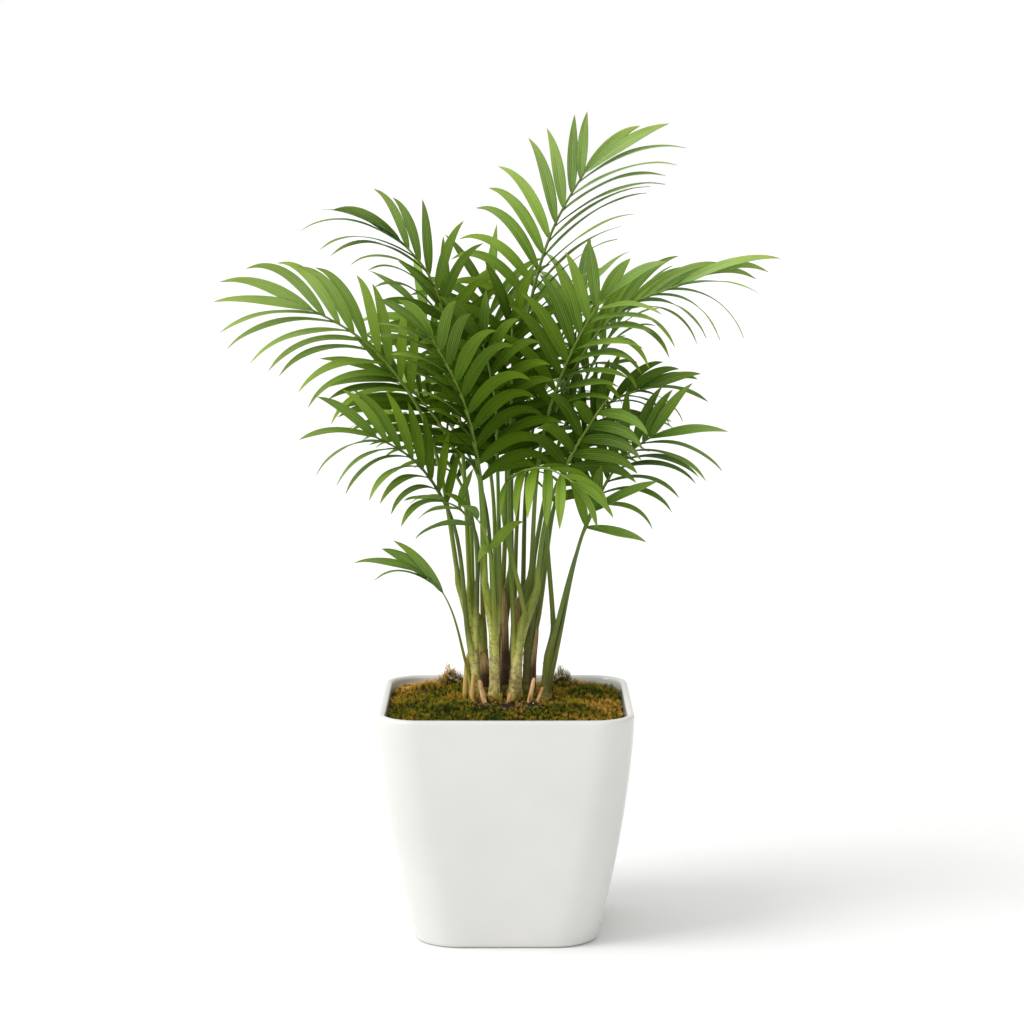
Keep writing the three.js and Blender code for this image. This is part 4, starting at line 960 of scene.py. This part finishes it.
def make_sheath(number, name, cane_name, low, high, side, wide):
    span = CANES[cane_name][1][2] - FOOT_LEVEL
    rows, columns = np.linspace(0, 1, SHEATH_ROWS + 1), np.linspace(0, 1, SHEATH_COLUMNS + 1)
    inner = np.zeros((len(rows), len(columns), 3))
    outer = inner.copy()
    for i, up in enumerate(rows):
        for j, c in enumerate(columns):
            tear = 1 - 0.10 * abs(scatter(number * 90 + j // 2 + 900)) - 0.06 * abs(c - 0.5)
            z = mix(low, high, up * tear)
            centre, radius = cane_at(cane_name, (z - FOOT_LEVEL) / span)
            centre[2] = z
            out = heading(side + wide * (1 - 0.75 * up * up) * (c - 0.5))
            crease = 0.16 * math.sin(c * 24 + number) + 0.12 * math.sin(c * 41 + up * 5)
            curl = 0.5 * (2 * abs(c - 0.5)) ** 4 * (0.4 + up)
            far = radius + 0.35 + 1.1 * up * up + crease + curl
            inner[i, j], outer[i, j] = centre + out * far, centre + out * (far + SHEATH_THICK)
    shape = Shape()
    shape.shell(outer, inner, along=np.repeat(rows, len(columns)) * 0.6)
    shape.make(name + "_husk", [HUSK], name)


# ---- moss -----------------------------------------------------------------------------------
MOSS_SEED, MOSS_THICK, MOSS_GAP, BED_RINGS, RIM_SHARE = 11, 10.1, 0.4, 44, 0.985
SHOOT_PITCH, SHOOT_LEAVES, GOLDEN_ANGLE, MOST_GOLD = 2.5, 9, 2.399, 0.66
CRUMBS, WHITE_EVERY, STRAWS = 900, 110, 26
# Where the soil shows and where crumbs and straw lie: x, y and width.
BARE = [(-13, -27, 15), (4, -31, 19), (19, -27, 15), (-24, -11, 9), (33, -9, 9)]
LITTER = [(-12, -27, 11), (4, -31, 14), (18, -27, 11), (-24, -12, 6), (34, -10, 6), (0, 6, 22)]


def moss_height(x, y, share):
    z = MOSS_EDGE + MOSS_DOME * (1 - share**2)
    for at_x, at_y, tall, wide in TUFTS:
        z = z + tall * hill(x, y, at_x, at_y, wide)
    return z + 0.9 * np.sin(x * 0.21 + 1.3) * np.sin(y * 0.19 + 0.4) * (1 - share**2)


def share_at(x, y):
    """0 in the middle of the pot's mouth, 1 at its inner wall."""
    inset = POT_WALL + 0.6
    half = pot_half(MOSS_EDGE) - inset
    corner = mix(CORNER_FOOT, CORNER_TOP, MOSS_EDGE / POT_TALL) - inset
    flat = half - corner
    x, y = np.abs(x), np.abs(y)
    # In the corners the ring is an arc, scaled with the share.
    a, b, c = 2 * flat**2 - corner**2, -2 * flat * (x + y), x**2 + y**2
    arc = (-b - np.sqrt(np.maximum(b * b - 4 * a * c, 0))) / (2 * a)
    return np.where((x > arc * flat) & (y > arc * flat), arc, np.maximum(x, y) / half)


def bareness(x, y):
    """How much of the soil shows at a place: 1 just in front of the canes, 0 away from them."""
    return np.max([hill(x, y, *spot) for spot in BARE], axis=0)


def make_moss():
    rng = np.random.default_rng(MOSS_SEED)
    wall = POT_WALL + MOSS_GAP
    bed = Shape()
    edge = outline(0, wall, MOSS_EDGE)
    # The lowest ring is the bed's underside; a share of 1 is the wall.
    rings, dark = [outline(MOSS_EDGE - MOSS_THICK, wall, MOSS_EDGE)], [np.zeros(len(edge))]
    for share in (1.0, RIM_SHARE, *np.linspace(0.96, 0.02, BED_RINGS)):
        x, y = edge[:, 0] * share, edge[:, 1] * share
        z = moss_height(x, y, share) - 1.6
        z = z + 0.5 * np.sin(x * 1.3 + 2 * np.sin(y * 0.9)) * np.sin(y * 1.1 + x * 0.3)
        rings.append(np.stack([x, y, z], -1))
        dark.append(bareness(x, y))
    # The bed is painted dark, as shade under the shoots, and darker still where bare soil shows.
    bed.strip(rings, along=0.28 - 0.24 * np.array(dark), tone=0.3, gold=0.3)
    bed.make("moss_bed", [MOSS], "moss")

    # Shoots: small stars of pointed leaves on a short stem, close together over the bed.
    n = int(2 * POT_TOP / SHOOT_PITCH)
    x, y = ((axis.ravel() - n / 2) * SHOOT_PITCH + rng.uniform(-SHOOT_PITCH / 2, SHOOT_PITCH / 2, n * n)
            for axis in np.meshgrid(np.arange(n), np.arange(n)))
    share, bare = share_at(x, y), bareness(x, y)
    keep = share < RIM_SHARE
    for name in CANES:
        centre, radius = cane_at(name, AT_MOSS)
        keep &= np.hypot(x - centre[0], y - centre[1]) > radius + 0.4
    keep &= rng.uniform(0, 1, len(x)) > bare * 0.95
    x, y, share, bare = x[keep], y[keep], share[keep], bare[keep]
    tuft = sum(tall / 10 * hill(x, y, at_x, at_y, wide) for at_x, at_y, tall, wide in TUFTS)
    clump = np.sin(x * 0.33 + 1.7 * np.sin(y * 0.21)) * np.sin(y * 0.29 + 1.1 * np.sin(x * 0.17))
    clump = 0.5 + 0.5 * clump
    tall = (1.7 + 2.9 * clump + 4.0 * tuft) * rng.uniform(0.6, 1.3, len(x))
    # Round the canes the shoots are browner.
    gold = 0.18 + 0.22 * clump - 0.02 * np.clip(tuft, 0, 1) + 0.2 * np.clip(bare, 0, 1)
    gold += sum(more * hill(x, y, at_x, at_y, wide) for at_x, at_y, wide, more in GOLDEN)
    lean = unit(np.stack([rng.normal(0, 0.22, len(x)), rng.normal(0, 0.22, len(x)), np.ones(len(x))], -1))
    foot = np.stack([x, y, moss_height(x, y, share) - 1.4], -1)
    for part in range(2):
        pick = slice(part, None, 2)
        shape = Shape()
        add_shoots(shape, rng, foot[pick], tall[pick], lean[pick], np.clip(gold, 0, MOST_GOLD)[pick])
        shape.make(f"moss_shoots_{part + 1}", [MOSS], "moss", sharp=True)
    make_litter(rng)


def add_shoots(shape, rng, foot, tall, lean, gold):
    count, leaves = len(foot), SHOOT_LEAVES
    k = np.arange(leaves)
    a = k * GOLDEN_ANGLE + rng.uniform(0, 6.28, (count, 1)) + rng.normal(0, 0.2, (count, leaves))
    guide = unit(np.cross(lean, np.array([0.3, 1.0, 0.1])))
    other = np.cross(lean, guide)
    out = guide[:, None] * np.cos(a)[..., None] + other[:, None] * np.sin(a)[..., None]
    lean = lean[:, None]
    way = unit(out + lean * mix(0.35, 1.4, (k + 1) / leaves)[:, None])
    across = unit(np.cross(way, out + lean * 0.01))
    # A tall shoot has longer leaves and stands clear of its neighbours, so it is lit lower down.
    clear = smooth((tall - 4) / 4)[:, None]
    size = mix(1.9, 1.1, k / leaves) * rng.uniform(0.8, 1.25, (count, leaves)) * mix(1, 1.7, clear)
    half = (size * mix(0.24, 0.36, clear))[..., None] * 0.5
    size = size[..., None]
    root = foot[:, None] + lean * ((k + 0.8) / leaves * tall[:, None])[..., None]
    points = np.stack([root + across * half, root - across * half,
                       root + way * size * 0.45 + unit(np.cross(across, way)) * size * 0.16,
                       root + way * size * 1.35 + lean * size * 0.15], 2)
    i = np.arange(count * leaves)[:, None] * 4
    tris = np.concatenate([i + corners for corners in ([0, 1, 2], [0, 2, 3], [2, 1, 3], [1, 0, 3])])
    tone = np.repeat(rng.uniform(0, 1, count), leaves * 4)
    # Leaves low on a shoot, and the foot of each leaf, get a low value, which paints them darker as
    # shade; tips get a high one, painted lighter.
    along = ((k + 1) / leaves)[:, None] * np.array([0.55, 0.55, 0.8, 1.0])
    along = mix(along, 0.36 + 0.42 * along, clear[..., None])
    shape.add(points, [tris], along=along, tone=tone, gold=np.repeat(gold, leaves * 4))


def make_litter(rng):
    """Crumbs of soil, a few white grains and bits of straw round the feet of the canes."""
    shape = Shape()
    ball = [[(math.sin(lat) * math.cos(a), math.sin(lat) * math.sin(a), math.cos(lat))
             for a in np.arange(6) * math.pi / 3] for lat in np.arange(5) * math.pi / 4]
    ball = np.array(ball)
    for k in range(CRUMBS):
        at_x, at_y, wide = LITTER[k % len(LITTER)]
        x, y = at_x + rng.normal(0, wide * 0.55), at_y + rng.normal(0, wide * 0.5)
        size = rng.uniform(0.6, 1.6)
        feet = (cane_at(name, AT_MOSS) for name in CANES)
        if any(np.hypot(x - foot[0], y - foot[1]) < radius + size for foot, radius in feet):
            continue
        lumps = ball * (1 + rng.uniform(-0.28, 0.28, (5, 6, 1)))
        lumps[0], lumps[-1] = ball[0] * 0.9, ball[-1] * 0.9
        lumps = lumps * size * np.array([1, rng.uniform(0.7, 1), rng.uniform(0.55, 0.85)])
        z = moss_height(x, y, share_at(x, y)) - 0.9 + size * 0.3
        white = k % WHITE_EVERY == 3
        shape.strip((lumps + np.array([x, y, z]))[::-1], tone=0.95 if white else rng.uniform(0, 0.4))
    for k in range(STRAWS):
        at_x, at_y, wide = LITTER[k % 5]
        x, y = at_x + rng.normal(0, wide * 0.7), at_y + rng.normal(0, wide * 0.5)
        foot = np.array([x, y, moss_height(x, y, share_at(x, y))])
        way = heading(rng.uniform(0, 360)) * rng.uniform(2.5, 5.0)
        key = [foot - UP, foot + UP * 0.5 + way * 0.5,
               foot - UP * 0.6 + way + heading(rng.uniform(0, 360)) * 1.2]
        path = resample(key, np.linspace(0, 2, 9))
        shape.strip(tube(path, np.linspace(0.32, 0.16, 9), 6), tone=0.6)
    shape.make("moss_litter", [SOIL], "moss", sharp=True)


# ---- put it together ------------------------------------------------------------------------
make_pot()
make_canes()
make_fronds()
for number, stub in enumerate(STUBS):
    make_stub(number, *stub)
for number, sheath in enumerate(SHEATHS):
    make_sheath(number, *sheath)
make_moss()
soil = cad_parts["soil"]
soil.data.materials.clear()
soil.data.materials.append(SOIL)

# ---- floor, light and camera ----------------------------------------------------------------
FLOOR_HALF = 30.0
floor_mesh = bpy.data.meshes.new("floor")
floor_mesh.from_pydata([(-FLOOR_HALF, -FLOOR_HALF, 0), (FLOOR_HALF, -FLOOR_HALF, 0),
                        (FLOOR_HALF, FLOOR_HALF, 0), (-FLOOR_HALF, FLOOR_HALF, 0)], [], [(0, 1, 2, 3)])
paper = Look("floor_white")
floor_mesh.materials.append(paper.shine(
    paper.ramp(paper.noise(3, 2), (0.3, (0.86, 0.86, 0.855)), (0.7, (0.88, 0.88, 0.875))), 0.9,
    Specular_IOR_Level=0.1))
place("floor", floor_mesh)

# The sun's power, how many degrees it spans, and where its beam runs.
SUN_POWER, SUN_SPAN, SUN_WAY = 1.66, 36, (0.91, 0.41, -0.87)
sun = bpy.data.lights.new("key", "SUN")
sun.energy = SUN_POWER
sun.angle = math.radians(SUN_SPAN)
key = place("key", sun)
key.location = (0, 0, 2)
key.rotation_mode = "QUATERNION"
key.rotation_quaternion = Vector(SUN_WAY).to_track_quat("-Z", "Y")

# The sky is a little brighter on the left; the camera itself sees it as plain white.
SKY_MIDDLE, SKY_SLOPE = 0.945, -0.34
world = bpy.data.worlds.new("studio")
bpy.context.scene.world = world
sky = Nodes(world, "ShaderNodeOutputWorld")
towards = sky.node("ShaderNodeTexCoord").outputs["Generated"]
right = sky.node("ShaderNodeSeparateXYZ", {0: towards}).outputs["X"]
strength = sky.node("ShaderNodeMath", {0: right, 1: SKY_SLOPE, 2: SKY_MIDDLE},
                    operation="MULTIPLY_ADD").outputs[0]
soft = sky.node("ShaderNodeBackground", {"Color": (1, 1, 0.985), "Strength": strength}).outputs[0]
white = sky.node("ShaderNodeBackground", {"Color": (1, 1, 1), "Strength": 1.0}).outputs[0]
seen = sky.node("ShaderNodeLightPath").outputs["Is Camera Ray"]
sky.put(sky.out.inputs["Surface"],
        sky.node("ShaderNodeMixShader", {0: seen, 1: soft, 2: white}).outputs[0])

CAMERA_AT, CAMERA_DOWN, LENS = (0.00416, -2.067, 0.5648), 7.26, 102.72
camera_data = bpy.data.cameras.new("camera")
camera_data.lens = LENS
camera_data.sensor_width = 36
camera_data.clip_end = 200
camera = place("camera", camera_data)
camera.location = CAMERA_AT
camera.rotation_euler = (math.radians(90 - CAMERA_DOWN), 0, 0)
bpy.context.scene.camera = camera
bpy.context.scene.view_settings.view_transform = "Standard"
